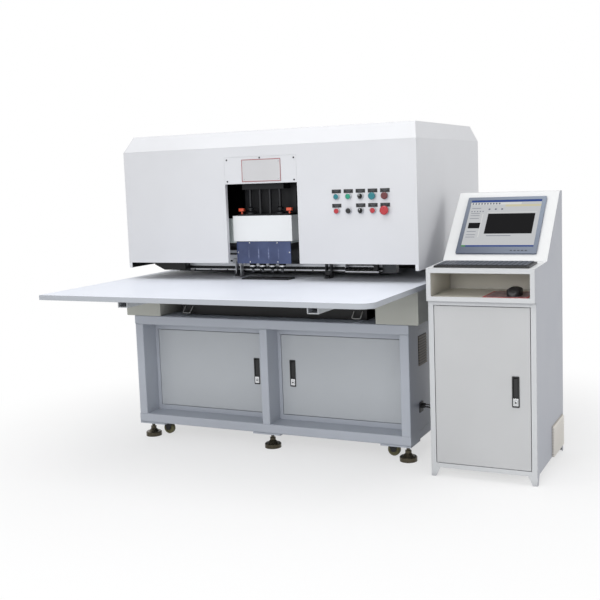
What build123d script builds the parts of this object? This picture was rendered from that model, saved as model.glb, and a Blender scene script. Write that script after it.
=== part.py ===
from build123d import *
import os

# Lengths are millimetres. While modelling, x = 0 is the machine's middle, y = 0 the front of the base frame
# and z = 0 the floor. The nodes are moved to the middle of the whole outline when they are written.

# Shared small sizes
SHEET = 2.5
OVERRUN = 5.0
RUNNING_GAP = 0.05
SLIDE_GAP = 0.3
QUARTER_TURN = 90
SIDES = (-1, 1)

# Base frame of rectangular tube
BASE_WIDTH = 1636.0
BASE_DEPTH = 1100.0
BASE_HEIGHT = 616.0
FLOOR_GAP = 95.0
TUBE_FACE = 50.0
TUBE_DEEP = 144.0
TUBE_ROUND = 6.0
CENTRE_POST = 46.0
PAD_LENGTH = 165.0
PAD_THICK = 8.0
PANEL_INSET = 3.0
BASE_HALF = BASE_WIDTH / 2
BASE_TOP = FLOOR_GAP + BASE_HEIGHT
RAIL_TOP = FLOOR_GAP + TUBE_FACE
RAIL_UNDER = BASE_TOP - TUBE_FACE
RING_BACK = BASE_DEPTH - TUBE_DEEP
BAY_OUTER = BASE_HALF - TUBE_FACE
BAY_INNER = CENTRE_POST / 2
PAD_UNDER = FLOOR_GAP - PAD_THICK

# Side grille and cable opening of the base
GRILLE_FRONT = 150.0
GRILLE_LENGTH = 122.0
GRILLE_LOW = 478.0
GRILLE_SLATS = 11
GRILLE_PITCH = 14.0
GRILLE_PROUD = 7.0
INLET_FRONT = 148.0
INLET_LENGTH = 56.0
INLET_LOW = 233.0
INLET_HEIGHT = 52.0

# Base doors
JAMB_DEPTH = 20.0
JAMB_SIDE = 20.0
JAMB_LOW = 27.0
JAMB_HIGH = 45.0
DOOR_GAP = 3.0
DOOR_THICK = 18.0
PIN_RADIUS = 4.0
PIN_REACH = 14.0
PIN_INSET = 6.5
JAMB_FRONT = TUBE_DEEP - JAMB_DEPTH

# Recessed lever locks
LOCK_WIDTH = 34.0
LOCK_HEIGHT = 146.0
LOCK_FLANGE = 3.0
LOCK_LIP = 3.0
LOCK_DEPTH = 17.0
LOCK_LOW = 331.0
LOCK_EDGE = 64.0
LOCK_KEY_SPACE = 46.0
KEY_RADIUS = 10.0
KEY_PROUD = 2.0
POCKET_WALL = 3.0
POCKET_FLOOR = 4.0
LEVER_SIDE_GAP = 0.6
LEVER_PIN_RADIUS = 2.0
LEVER_HEAD = 4.0
LEVER_SWING_SPACE = 9.0
LEVER_THICK = 9.0
LEVER_PROUD = 4.5

# Levelling feet
FOOT_RADIUS = 45.0
FOOT_RIM = 25.0
FOOT_BEVEL = 4.0
FOOT_CONE_RADIUS = 30.0
FOOT_NECK_RADIUS = 15.0
FOOT_CONE = 17.0
FOOT_NUT = 30.0
FOOT_NUT_HEIGHT = 13.0
FOOT_STEM_RADIUS = 9.0
FOOT_EDGE = 40.0
FOOT_SETBACK = 70.0

# Casters
CASTER_EDGE = 128.0
CASTER_SETBACK = 104.0
WHEEL_RADIUS = 32.5
WHEEL_WIDTH = 28.0
WHEEL_ROUND = 5.0
WHEEL_FLOOR_GAP = 10.0
HUB_RADIUS = 17.0
HUB_DISH = 4.0
AXLE_RADIUS = 5.0
FORK_SIDE = 3.0
FORK_GAP = 1.5
FORK_PLATE = 4.0
FORK_LENGTH = 60.0
FORK_PLATE_WIDTH = 70.0
FORK_TAIL = 20.0
FORK_LOW = 10.0
WHEEL_Z = WHEEL_FLOOR_GAP + WHEEL_RADIUS

# Table
TABLE_WIDTH = 1796.0
TABLE_OUT = 692.0
TABLE_REAR_GAP = 50.0
TABLE_THICK = 25.0
TABLE_CORNER = 70.0
BEAM_HEIGHT = 178.0
BEAM_WIDTH = 225.0
BEAM_SIDE = 52.0
BEAM_FRONT = 2.0
BEAM_ROUND = 4.0
ARM_SIZE = 58.0
ARM_WALL = 5.0
ARM_X = 532.0
ARM_OUT = 495.0
ARM_REAR_GAP = 70.0
CROSS_SIZE = 50.0
CROSS_FRONT = 40.0
CROSS_REAR_GAP = 10.0
TABLE_HALF = TABLE_WIDTH / 2
TABLE_UNDER = BASE_TOP + BEAM_HEIGHT
TABLE_TOP = TABLE_UNDER + TABLE_THICK
BEAM_OUTER = BASE_HALF + BEAM_SIDE
BEAM_INNER = BEAM_OUTER - BEAM_WIDTH

# Scrap tray under the table
TRAY_HALF = 560.0
TRAY_FRONT = 100.0
TRAY_HEIGHT = 61.0
RUNNER_THICK = 3.0
RUNNER_WIDTH = 30.0
RUNNER_FRONT = 20.0
RUNNER_INSET = 10.0
PULL_X = 513.0
PULL_WIDTH = 48.0
PULL_RADIUS = 2.5
PULL_OUT = 36.0
PULL_DROP = 34.0
PULL_TOP = 17.0
PULL_BEND = 9.0
TRAY_LOW = BASE_TOP + RUNNER_THICK + SLIDE_GAP
TRAY_TOP = TRAY_LOW + TRAY_HEIGHT

# Frame that carries the head
LEG_WIDTH = 160.0
LEG_DEPTH = 260.0
LEG_BACK = 20.0
LEG_OUTER = 700.0
GIRDER_GAP = 171.0
GIRDER_HEIGHT = 100.0
GIRDER_WIDTH = 80.0
GIRDER_OUTER = 680.0
GIRDER_FRONT = 120.0
GIRDER_REAR_GAP = 45.0
CROSS_GIRDER = 80.0
FRONT_GIRDER = 225.0
REAR_GIRDER_GAP = 265.0
OUTRIGGER = 50.0
OUTRIGGER_FRONT = 200.0
GIRDER_LOW = TABLE_TOP + GIRDER_GAP
GIRDER_TOP = GIRDER_LOW + GIRDER_HEIGHT
GIRDER_INNER = GIRDER_OUTER - GIRDER_WIDTH
GIRDER_X = GIRDER_OUTER - GIRDER_WIDTH / 2
LEG_FRONT = BASE_DEPTH - LEG_BACK - LEG_DEPTH
TABLE_BACK = LEG_FRONT - TABLE_REAR_GAP
ARM_BACK = TABLE_BACK - ARM_REAR_GAP
CROSS_REAR = ARM_BACK - CROSS_REAR_GAP - CROSS_SIZE
TRAY_BACK = ARM_BACK

# Head housing
HOUSING_WIDTH = 1730.0
HOUSING_OVERHANG = 65.0
HOUSING_FRONT = 44.0
SIDE_CLEAR = 63.0
FRONT_CLEAR = 94.0
WALL_HEIGHT = 650.0
ROOF_RISE = 86.0
ROOF_FRONT = 70.0
ROOF_SIDE = 26.0
ROOF_REAR = 75.0
HOUSING_FLANGE = 18.0
OPENING_WIDTH = 428.0
OPENING_HEIGHT = 424.0
OPENING_RETURN = 20.0
COVER_HEIGHT = 142.0
COVER_GAP = 0.5
COVER_LAP = 12.0
HOUSING_HALF = HOUSING_WIDTH / 2
HOUSING_BACK = BASE_DEPTH + HOUSING_OVERHANG
GIRDER_BACK = HOUSING_BACK - GIRDER_REAR_GAP
REAR_GIRDER = HOUSING_BACK - REAR_GIRDER_GAP
HOUSING_LOW = TABLE_TOP + SIDE_CLEAR
FRONT_LOW = TABLE_TOP + FRONT_CLEAR
WALL_TOP = HOUSING_LOW + WALL_HEIGHT
ROOF_TOP = WALL_TOP + ROOF_RISE
OPENING_HALF = OPENING_WIDTH / 2
OPENING_TOP = FRONT_LOW + OPENING_HEIGHT
COVER_TOP = OPENING_TOP + COVER_HEIGHT
PANEL_BACK = HOUSING_FRONT + SHEET

# Punch unit
HEAD_X = -27.0
PUNCH_COUNT = 4
PUNCH_PITCH = 60.0
PUNCH_Y = 142.0
PUNCH_TRAVEL = 40.0
TIP_CLEAR = 38.0
TIP_RADIUS = 6.5
TIP_LENGTH = 14.0
HOLDER_RADIUS = 19.0
HOLDER_LENGTH = 28.0
HOLDER_TAPER = 8.0
ROD_RADIUS = 12.0
PISTON_RADIUS = 7.0
DIE_WIDTH = 284.0
DIE_DEPTH = 80.0
DIE_THICK = 8.0
DIE_GAP = 0.5
SLOT_MARGIN = 18.0
GUARD_WIDTH = 326.0
GUARD_HEIGHT = 121.0
GUARD_THICK = 6.0
GUARD_FRONT = 100.0
GUARD_DROP = 6.0
CHEEK = 8.0
PUNCH_COVER_WIDTH = 354.0
PUNCH_COVER_HEIGHT = 137.0
PUNCH_COVER_FRONT = 95.0
GUIDE_THICK = 50.0
GUIDE_FRONT = 115.0
GUIDE_SIDE = 12.0
MOUNT_PLATE = 20.0
MOUNT_EAR = 58.0
BRACKET_WIDTH = 80.0
BRACKET_FRONT = 130.0
BRACKET_DROP = 12.0
BRACKET_GAP = 0.5
MOUNT_LOW = 2.0
CAP_THICK = 13.0
CAP_ABOVE = 8.0
CYLINDER_RADIUS = 9.5
CYLINDER_LENGTH = 132.0
CYLINDER_BORE_DEPTH = 72.0
BUFFER_RADIUS = 27.0
BUFFER_RIM = 8.0
BUFFER_TAPER = 8.0
BUFFER_NECK = 13.0
BUFFER_NECK_HEIGHT = 8.0
BUFFER_COLLAR = 19.0
HEADER_HALF = 125.0
HEADER_HEIGHT = 60.0
HEADER_FRONT = 118.0
FITTING_X = 145.0
FITTING_WIDTH = 30.0
FITTING_DEPTH = 20.0
FITTING_HEIGHT = 17.0
FITTING_POST = 5.0
FITTING_LIFT = 14.0
TIP_Z = TABLE_TOP + TIP_CLEAR
GUARD_LOW = FRONT_LOW - GUARD_DROP
GUARD_TOP = GUARD_LOW + GUARD_HEIGHT
GUARD_BACK = GUARD_FRONT + GUARD_THICK
PUNCH_COVER_TOP = GUARD_TOP + PUNCH_COVER_HEIGHT
MOUNT_FRONT = FRONT_GIRDER - MOUNT_PLATE
GUIDE_LOW = GUARD_TOP + CHEEK
GUIDE_TOP = GUIDE_LOW + GUIDE_THICK
CAP_TOP = PUNCH_COVER_TOP + CAP_ABOVE
CAP_LOW = CAP_TOP - CAP_THICK
CYLINDER_TOP = CAP_TOP + CYLINDER_LENGTH
MOUNT_HALF = GUARD_WIDTH / 2
CAP_HALF = MOUNT_HALF - GUIDE_SIDE / 2
PUNCHES = range(PUNCH_COUNT)

# Feed under the head
RAIL_WIDTH = 20.0
RAIL_HEIGHT = 20.0
RAIL_FRONT = 150.0
RAIL_REAR_GAP = 20.0
FEED_FRONT = 255.0
FEED_DEPTH = 45.0
FEED_HALF = 600.0
FEED_CLEAR = 27.0
FEED_HEIGHT = 119.0
GROOVE_WIDTH = 10.0
GROOVE_DEPTH = 8.0
GROOVE_COUNT = 3
SHOE_WIDTH = 56.0
SHOE_LENGTH = 75.0
SHOE_HEIGHT = 38.0
SHOE_CLEAR = 2.0
CARRIAGE_LEFT = -300.0
CARRIAGE_RIGHT = 350.0
CARRIAGE_THICK = 14.0
CARRIAGE_HEIGHT = 26.0
TONGUE_DEPTH = 6.0
CLAMPS_X = (-250.0, 300.0)
YOKE_HALF = 18.0
YOKE_SIDE = 6.0
YOKE_DEPTH = 29.0
JAW_CLEAR = 2.0
JAW_PLATE = 4.0
JAW_REACH = 22.0
JAW_GAP = 1.0
JAW_SIDE_GAP = 0.5
JAW_PIN_RADIUS = 3.0
JAW_PIN_RISE = 26.0
JAW_PIN_BACK = 17.0
JAW_HEIGHT = 33.0
CHAIN_TRAY_LEFT = 400.0
CHAIN_TRAY_LENGTH = 190.0
CHAIN_TRAY_DEPTH = 47.0
CHAIN_TRAY_LIP = 13.0
CHAIN_TRAY_END = 56.0
CHAIN_WIDTH = 26.0
CHAIN_LINK = 20.0
CHAIN_PITCH = 15.0
CHAIN_OVERLAP = 2.0
CHAIN_WAIST = 3.0
CHAIN_LINKS = 10
CHAIN_BEND = 10.0
CHAIN_SETBACK = 2.0
DRIVE_OUT = 200.0
DRIVE_LAP = 8.0
DRIVE_DEPTH = 55.0
DRIVE_RISE = 10.0
DRIVE_HEIGHT = 80.0
DRIVE_TAPER = 65.0
DRIVE_SLOPE = 30.0
DRIVE_BEVEL = 3.0
RAIL_BACK = LEG_FRONT - RAIL_REAR_GAP
FEED_LOW = TABLE_TOP + FEED_CLEAR
FEED_TOP = FEED_LOW + FEED_HEIGHT
FEED_BACK = FEED_FRONT + FEED_DEPTH
GROOVE_STEP = FEED_HEIGHT / GROOVE_COUNT
CARRIAGE_Z = FEED_LOW + GROOVE_STEP * (GROOVE_COUNT / 2)
CARRIAGE_BACK = FEED_FRONT - SLIDE_GAP
CARRIAGE_FRONT = CARRIAGE_BACK - CARRIAGE_THICK
YOKE_FRONT = CARRIAGE_FRONT - YOKE_DEPTH
JAW_LOW = TABLE_TOP + JAW_CLEAR
JAW_TOP = JAW_LOW + JAW_PLATE
JAW_PIN_Y = CARRIAGE_FRONT - JAW_PIN_BACK
JAW_PIN_Z = JAW_TOP + JAW_PIN_RISE

# Push buttons on the front panel
BUTTON_EDGE = 168.0
BUTTON_STEP = 65.5
BUTTON_COUNT = 5
BUTTON_RISE = 271.5
BUTTON_ROW = 72.5
BEZEL_RADIUS = 16.5
BEZEL_HEIGHT = 9.0
BEZEL_BEVEL = 2.0
BUTTON_RADIUS = 13.2
BUTTON_PROUD = 4.0
BUTTON_TRAVEL = 4.0
BUTTON_REST = 0.5
GRIP_WIDTH = 7.0
GRIP_LENGTH = 24.0
GRIP_HEIGHT = 11.0
BROAD_RADIUS = 18.0
BROAD_HEIGHT = 8.0
BROAD_CROWN = 3.0
MUSHROOM_RADIUS = 22.5
MUSHROOM_HEIGHT = 12.0
MUSHROOM_CROWN = 5.0
MUSHROOM_TRAVEL = 6.0
BUTTON_LOW = FRONT_LOW + BUTTON_RISE
BUTTON_X = HOUSING_HALF - BUTTON_EDGE - (BUTTON_COUNT - 1) * BUTTON_STEP

# Console
CONSOLE_GAP = 145.0
CONSOLE_WIDTH = 509.0
CONSOLE_FRONT = -121.5
CONSOLE_DEPTH = 626.5
CONSOLE_FOOT = 45.0
CONSOLE_FOOT_TIP = 22.0
CONSOLE_FOOT_TOP = 44.0
CONSOLE_STILE = 25.5
CONSOLE_STILE_DEPTH = 20.0
CONSOLE_SILL = 22.0
CONSOLE_HEAD = 22.0
SHELF_LOW = 856.0
SHELF_HEIGHT = 155.0
SHELF_OUT = 26.0
SHELF_LIP = 22.0
SHELF_DEPTH = 320.0
DECK_RISE = 9.0
DECK_BACK = 125.0
FASCIA_BACK = 452.0
CONSOLE_TOP = 1344.0
VENT_FRONT = 214.0
VENT_LENGTH = 264.0
VENT_SLATS = 11
VENT_PITCH = 14.0
VENT_PROUD = 12.0
CONSOLE_LOCK_LOW = 366.0
CONSOLE_LOCK_EDGE = 68.0
MONITOR_WIDTH = 398.0
MONITOR_HEIGHT = 374.0
MONITOR_PROUD = 9.0
MONITOR_BEZEL = 20.0
MONITOR_CHIN = 42.0
MONITOR_RECESS = 2.0
MONITOR_ROUND = 6.0
KEYBOARD_WIDTH = 450.0
KEYBOARD_DEPTH = 176.0
KEYBOARD_THICK = 9.0
KEYBOARD_SETBACK = 24.0
KEY_ROWS = 6
KEY_COLUMNS = 18
KEY_MARGIN = 12.0
KEY_GAP = 4.0
KEY_HEIGHT = 5.0
MOUSE_WIDTH = 64.0
MOUSE_LENGTH = 110.0
MOUSE_HEIGHT = 42.0
MOUSE_ARCH = 59.0
MOUSE_CROWN = 37.0
MOUSE_EDGE = 112.0
MOUSE_BACK = 66.0
PAD_WIDTH = 210.0
PAD_DEPTH = 220.0
PAD_SHEET = 1.5
PAD_EDGE = 12.0
CONSOLE_LEFT = BASE_HALF + CONSOLE_GAP
CONSOLE_RIGHT = CONSOLE_LEFT + CONSOLE_WIDTH
CONSOLE_MIDDLE = (CONSOLE_LEFT + CONSOLE_RIGHT) / 2
CONSOLE_BACK = CONSOLE_FRONT + CONSOLE_DEPTH
SHELF_TOP = SHELF_LOW + SHELF_HEIGHT
SHELF_FLOOR = SHELF_LOW + SHELF_LIP
SHELF_CEILING = SHELF_TOP - SHELF_LIP
SHELF_FRONT = CONSOLE_FRONT - SHELF_OUT
SHELF_BACK = SHELF_FRONT + SHELF_DEPTH
DECK_TOP = SHELF_TOP + DECK_RISE

# Cables from the base to the console, and their glands
POWER_RADIUS = 4.5
SIGNAL_RADIUS = 3.0
GLAND_PLATE = 4.0
GLAND_LENGTH = 17.0
GLAND_WALL = 3.5
GROMMET_LENGTH = 5.0
POWER_ROUTE = [(836, 172, 262), (856, 172, 262), (873, 175, 254), (885.5, 178, 239.5), (911, 188, 145),
               (924, 192, 129.5), (942, 197, 121), (960, 199, 121)]
SIGNAL_ROUTE = [(836, 190, 270), (860, 191, 268), (883, 194, 259), (903, 198, 245), (921, 202, 229),
                (939, 206, 215), (960, 209, 206)]
ARC_SHARE = 0.45

# Switch box on the outer side of the left table beam
SWITCH_LENGTH = 45.0
SWITCH_DEPTH = 50.0
SWITCH_HEIGHT = 26.0
SWITCH_FRONT = 10.0
SWITCH_LOW = 759.0

# Middle of the whole outline, where the origin goes
X_LOW = -max(TABLE_HALF, BEAM_OUTER + SWITCH_LENGTH)
X_HIGH = CONSOLE_RIGHT + VENT_PROUD
ORIGIN_X = (X_LOW + X_HIGH) / 2
ORIGIN_Y = (HOUSING_BACK - TABLE_OUT) / 2


def block(x0, x1, y0, y1, z0, z1):
    """Box between two corners."""
    middle = ((x0 + x1) / 2, (y0 + y1) / 2, (z0 + z1) / 2)
    return Pos(*middle) * Box(x1 - x0, y1 - y0, z1 - z0)


def span(side, inner, outer):
    """Pair of x values on one side of the middle plane, low one first."""
    return sorted((side * inner, side * outer))


def around(middle, size):
    """Pair of values centred on a place."""
    return middle - size / 2, middle + size / 2


def rod_x(y, z, x0, x1, radius):
    return Pos((x0 + x1) / 2, y, z) * Rot(0, QUARTER_TURN, 0) * Cylinder(radius, x1 - x0)


def rod_y(x, z, y0, y1, radius):
    return Pos(x, (y0 + y1) / 2, z) * Rot(QUARTER_TURN, 0, 0) * Cylinder(radius, y1 - y0)


def rod_z(x, y, z0, z1, radius):
    return Pos(x, y, (z0 + z1) / 2) * Cylinder(radius, z1 - z0)


def prism_x(points, x0, x1):
    """Outline in y and z, carried along x."""
    return Pos(x0, 0, 0) * extrude(Plane.YZ * Polygon(*points, align=None), amount=x1 - x0)


def prism_y(points, y0, y1):
    """Outline in x and z, carried along y."""
    return Pos(0, y1, 0) * extrude(Plane.XZ * Polygon(*points, align=None), amount=y1 - y0)


def turned(points):
    """Outline in radius and height, turned about z."""
    return revolve(Plane.XZ * Polygon(*points, align=None), Axis.Z)


def tube(x0, x1, y0, y1, z0, z1, along, radius=TUBE_ROUND):
    """Length of closed rectangular tube with rounded long edges."""
    body = block(x0, x1, y0, y1, z0, z1)
    return fillet(body.edges().filter_by(along), radius)


def slope_plane(x, y0, z0, y1, z1):
    """Plane on a sheet that climbs from front to back, with its origin at the middle of the slope."""
    along = Vector(0, y1 - y0, z1 - z0).normalized()
    middle = (x, (y0 + y1) / 2, (z0 + z1) / 2)
    return Plane(origin=middle, x_dir=(1, 0, 0), z_dir=(0, -along.Z, along.Y))


def louvre(y0, y1, x0, z0, slats, pitch, proud):
    """Pressed louvre: a stack of sloping slats on a backing sheet."""
    outline = [(x0, z0)]
    for step in range(slats):
        low = z0 + step * pitch
        outline.append((x0 + proud, low))
        outline.append((x0 + SHEET, low + pitch))
    outline.append((x0, z0 + slats * pitch))
    return prism_y(outline, y0, y1)


# Base

def base_frame():
    tubes = []
    for front in (0, RING_BACK):
        rear = front + TUBE_DEEP
        for low in (FLOOR_GAP, RAIL_UNDER):
            tubes.append(tube(-BASE_HALF, BASE_HALF, front, rear, low, low + TUBE_FACE, Axis.X))
        for side in SIDES:
            tubes.append(tube(*span(side, BAY_OUTER, BASE_HALF), front, rear, RAIL_TOP, RAIL_UNDER, Axis.Z))
            tubes.append(block(*span(side, BASE_HALF - PAD_LENGTH, BASE_HALF), front, rear, PAD_UNDER,
                               FLOOR_GAP))
        tubes.append(tube(-BAY_INNER, BAY_INNER, front, rear, RAIL_TOP, RAIL_UNDER, Axis.Z))
        tubes.append(block(*around(0, PAD_LENGTH), front, rear, PAD_UNDER, FLOOR_GAP))
    for side in SIDES:
        for low in (FLOOR_GAP, RAIL_UNDER):
            tubes.append(tube(*span(side, BAY_OUTER, BASE_HALF), TUBE_DEEP, RING_BACK, low, low + TUBE_FACE,
                              Axis.Y))
    return tubes


def base_panels():
    outer = BASE_HALF - PANEL_INSET
    sheets = [block(*span(side, outer - SHEET, outer), TUBE_DEEP, RING_BACK, RAIL_TOP,
                    RAIL_UNDER) for side in SIDES]
    holes = [(GRILLE_FRONT, GRILLE_LENGTH, GRILLE_LOW, GRILLE_SLATS * GRILLE_PITCH),
             (INLET_FRONT, INLET_LENGTH, INLET_LOW, INLET_HEIGHT)]
    for front, length, low, height in holes:
        sheets[1] -= block(outer - OVERRUN, outer + OVERRUN, front + SHEET, front + length - SHEET,
                           low + SHEET, low + height - SHEET)
    for low in (RAIL_TOP - SHEET, BASE_TOP - SHEET):
        sheets.append(block(-BAY_OUTER, BAY_OUTER, TUBE_DEEP, RING_BACK, low, low + SHEET))
    for side in SIDES:
        sheets.append(block(*span(side, BAY_INNER, BAY_OUTER), BASE_DEPTH - JAMB_DEPTH,
                            BASE_DEPTH - JAMB_DEPTH + SHEET, RAIL_TOP, RAIL_UNDER))
        runner = side * (TRAY_HALF - RUNNER_INSET - RUNNER_WIDTH / 2)
        sheets.append(block(*around(runner, RUNNER_WIDTH), RUNNER_FRONT, TRAY_BACK,
                            BASE_TOP, BASE_TOP + RUNNER_THICK))
    return sheets


def louvre_vents():
    grille = louvre(GRILLE_FRONT, GRILLE_FRONT + GRILLE_LENGTH, BASE_HALF - PANEL_INSET, GRILLE_LOW,
                    GRILLE_SLATS, GRILLE_PITCH, GRILLE_PROUD)
    vent = louvre(VENT_FRONT, VENT_FRONT + VENT_LENGTH, CONSOLE_RIGHT, CONSOLE_FOOT,
                  VENT_SLATS, VENT_PITCH, VENT_PROUD)
    return [grille, vent]


def hung_door(x0, x1, z0, z1, front, hinge_side, lock_x, lock_low):
    """Folded door pan with pin holes at its hinge edge and a cut-out for its lock."""
    back = front + DOOR_THICK
    pan = block(x0, x1, front, back, z0, z1)
    pan -= block(x0 + SHEET, x1 - SHEET, front + SHEET, back + OVERRUN, z0 + SHEET, z1 - SHEET)
    edge = x0 if hinge_side < 0 else x1
    pan -= rod_z(edge - hinge_side * PIN_INSET, front + PIN_INSET, z0 - OVERRUN, z1 + OVERRUN,
                 PIN_RADIUS + RUNNING_GAP)
    hole = LOCK_WIDTH - 2 * LOCK_LIP
    pan -= block(*around(lock_x, hole), front - OVERRUN, front + SHEET + OVERRUN,
                 lock_low + LOCK_LIP, lock_low + LOCK_HEIGHT - LOCK_LIP)
    return pan


def hinge_pins(edge, hinge_side, front, z0, z1):
    """Lower and upper pin of one door, standing on the frame around it."""
    x = edge - hinge_side * PIN_INSET
    y = front + PIN_INSET
    return [rod_z(x, y, z0 - DOOR_GAP, z0 + PIN_REACH, PIN_RADIUS),
            rod_z(x, y, z1 - PIN_REACH, z1 + DOOR_GAP, PIN_RADIUS)]


DOOR_LOW = RAIL_TOP + JAMB_LOW + DOOR_GAP
DOOR_HIGH = RAIL_UNDER - JAMB_HIGH - DOOR_GAP
DOOR_OUTER = BAY_OUTER - JAMB_SIDE - DOOR_GAP
DOOR_INNER = BAY_INNER + JAMB_SIDE + DOOR_GAP
LOCK_X = DOOR_INNER + LOCK_EDGE


def door_jambs():
    pieces = []
    for side in SIDES:
        low, high = RAIL_TOP + JAMB_LOW, RAIL_UNDER - JAMB_HIGH
        pieces.append(block(*span(side, BAY_INNER, BAY_OUTER), JAMB_FRONT, TUBE_DEEP, RAIL_TOP, low))
        pieces.append(block(*span(side, BAY_INNER, BAY_OUTER), JAMB_FRONT, TUBE_DEEP, high, RAIL_UNDER))
        pieces.append(block(*span(side, BAY_INNER, BAY_INNER + JAMB_SIDE), JAMB_FRONT, TUBE_DEEP, low,
                            high))
        pieces.append(block(*span(side, BAY_OUTER - JAMB_SIDE, BAY_OUTER), JAMB_FRONT, TUBE_DEEP, low,
                            high))
        pieces += hinge_pins(side * DOOR_OUTER, side, JAMB_FRONT, DOOR_LOW, DOOR_HIGH)
    return pieces


def base_door(side):
    x0, x1 = span(side, DOOR_INNER, DOOR_OUTER)
    return [hung_door(x0, x1, DOOR_LOW, DOOR_HIGH, JAMB_FRONT, side, side * LOCK_X, LOCK_LOW)]


def lock_dish(x, low, front):
    """Dish that sits in the door, with the lever's pocket, its pin and the key barrel."""
    high = low + LOCK_HEIGHT
    flange = block(*around(x, LOCK_WIDTH), front - LOCK_FLANGE, front, low, high)
    flange = fillet(flange.edges().filter_by(Axis.Y), LOCK_FLANGE)
    hole = LOCK_WIDTH - 2 * LOCK_LIP
    dish = flange + block(*around(x, hole), front, front + LOCK_DEPTH, low + LOCK_LIP, high - LOCK_LIP)
    pocket = hole - 2 * POCKET_WALL
    dish -= block(*around(x, pocket), front - LOCK_FLANGE - OVERRUN, front + LOCK_DEPTH - POCKET_FLOOR,
                  low + LOCK_KEY_SPACE, high - LOCK_LIP - POCKET_WALL)
    dish += rod_x(*lever_axis(low, front), *around(x, pocket + POCKET_WALL), LEVER_PIN_RADIUS)
    dish += rod_y(x, low + LOCK_KEY_SPACE / 2, front - LOCK_FLANGE - KEY_PROUD, front, KEY_RADIUS)
    return [dish]


def lever_axis(low, front):
    """Height and depth of the pin that a lever swings on."""
    return front + LEVER_PROUD, low + LOCK_HEIGHT - LOCK_LIP - POCKET_WALL - LEVER_SWING_SPACE


def lock_lever(x, low, front):
    y, z = lever_axis(low, front)
    width = LOCK_WIDTH - 2 * (LOCK_LIP + POCKET_WALL + LEVER_SIDE_GAP)
    bar = block(*around(x, width), *around(y - LEVER_SIDE_GAP, LEVER_THICK),
                low + LOCK_KEY_SPACE + LEVER_SIDE_GAP,
                z + LEVER_HEAD)
    bar = fillet(bar.edges().filter_by(Axis.Z), LEVER_HEAD / 2)
    return [bar - rod_x(y, z, *around(x, LOCK_WIDTH), LEVER_PIN_RADIUS + RUNNING_GAP)]


def levelling_feet():
    cone_top = FOOT_RIM + FOOT_CONE
    outline = [(0, 0), (FOOT_RADIUS, 0), (FOOT_RADIUS, FOOT_RIM - FOOT_BEVEL),
               (FOOT_RADIUS - FOOT_BEVEL, FOOT_RIM),
               (FOOT_CONE_RADIUS, FOOT_RIM), (FOOT_NECK_RADIUS, cone_top), (FOOT_STEM_RADIUS, cone_top),
               (FOOT_STEM_RADIUS, PAD_UNDER), (0, PAD_UNDER)]
    nut = Pos(0, 0, cone_top) * extrude(RegularPolygon(FOOT_NUT / 2, 6, major_radius=False),
                                        amount=FOOT_NUT_HEIGHT)
    foot = turned(outline) + nut
    places = [side * (BASE_HALF - FOOT_EDGE) for side in SIDES] + [0]
    return [Pos(x, y, 0) * foot for x in places for y in (FOOT_SETBACK, BASE_DEPTH - FOOT_SETBACK)]


def caster_places():
    return [(side * (BASE_HALF - CASTER_EDGE), y) for y in (CASTER_SETBACK, BASE_DEPTH - CASTER_SETBACK)
            for side in SIDES]


def caster_forks():
    plate_low = PAD_UNDER - FORK_PLATE
    tail = WHEEL_Z - FORK_LOW
    inner = WHEEL_WIDTH / 2 + FORK_GAP
    fork = block(*around(0, FORK_LENGTH), *around(0, FORK_PLATE_WIDTH), plate_low, PAD_UNDER)
    outline = [(-FORK_LENGTH / 2, plate_low), (-FORK_TAIL / 2, tail), (FORK_TAIL / 2, tail),
               (FORK_LENGTH / 2, plate_low)]
    for side in SIDES:
        fork += prism_y(outline, *span(side, inner, inner + FORK_SIDE))
    fork += rod_y(0, WHEEL_Z, -inner - FORK_SIDE, inner + FORK_SIDE, AXLE_RADIUS)
    return [Pos(x, y, 0) * fork for x, y in caster_places()]


def caster_wheel(x, y):
    wheel = rod_y(0, 0, *around(0, WHEEL_WIDTH), WHEEL_RADIUS)
    wheel = chamfer(wheel.edges().filter_by(GeomType.CIRCLE), WHEEL_ROUND)
    for side in SIDES:
        face, deep = side * WHEEL_WIDTH / 2, side * (WHEEL_WIDTH / 2 - HUB_DISH)
        ring = rod_y(0, 0, *sorted((face, deep)), HUB_RADIUS + HUB_DISH)
        wheel -= ring - rod_y(0, 0, *sorted((face, deep)), HUB_RADIUS - HUB_DISH)
    wheel -= rod_y(0, 0, -WHEEL_WIDTH, WHEEL_WIDTH, AXLE_RADIUS + RUNNING_GAP)
    return [Pos(x, y, WHEEL_Z) * wheel]


# Table

def punch_x(number):
    return HEAD_X + (number - (PUNCH_COUNT - 1) / 2) * PUNCH_PITCH


def table_top():
    top = block(-TABLE_HALF, TABLE_HALF, -TABLE_OUT, TABLE_BACK, TABLE_UNDER, TABLE_TOP)
    corner = top.edges().filter_by(Axis.Z).sort_by(lambda edge: edge.center().Y - edge.center().X)[0]
    top = fillet(corner, TABLE_CORNER)
    return [top - block(punch_x(0) - SLOT_MARGIN, punch_x(PUNCH_COUNT - 1) + SLOT_MARGIN,
                        PUNCH_Y - SLOT_MARGIN, PUNCH_Y + SLOT_MARGIN, TABLE_UNDER - OVERRUN,
                        TABLE_TOP + OVERRUN)]


def table_side_beams():
    return [tube(*span(side, BEAM_INNER, BEAM_OUTER), BEAM_FRONT, TABLE_BACK, BASE_TOP, TABLE_UNDER, Axis.Y,
                 BEAM_ROUND)
            for side in SIDES]


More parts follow.
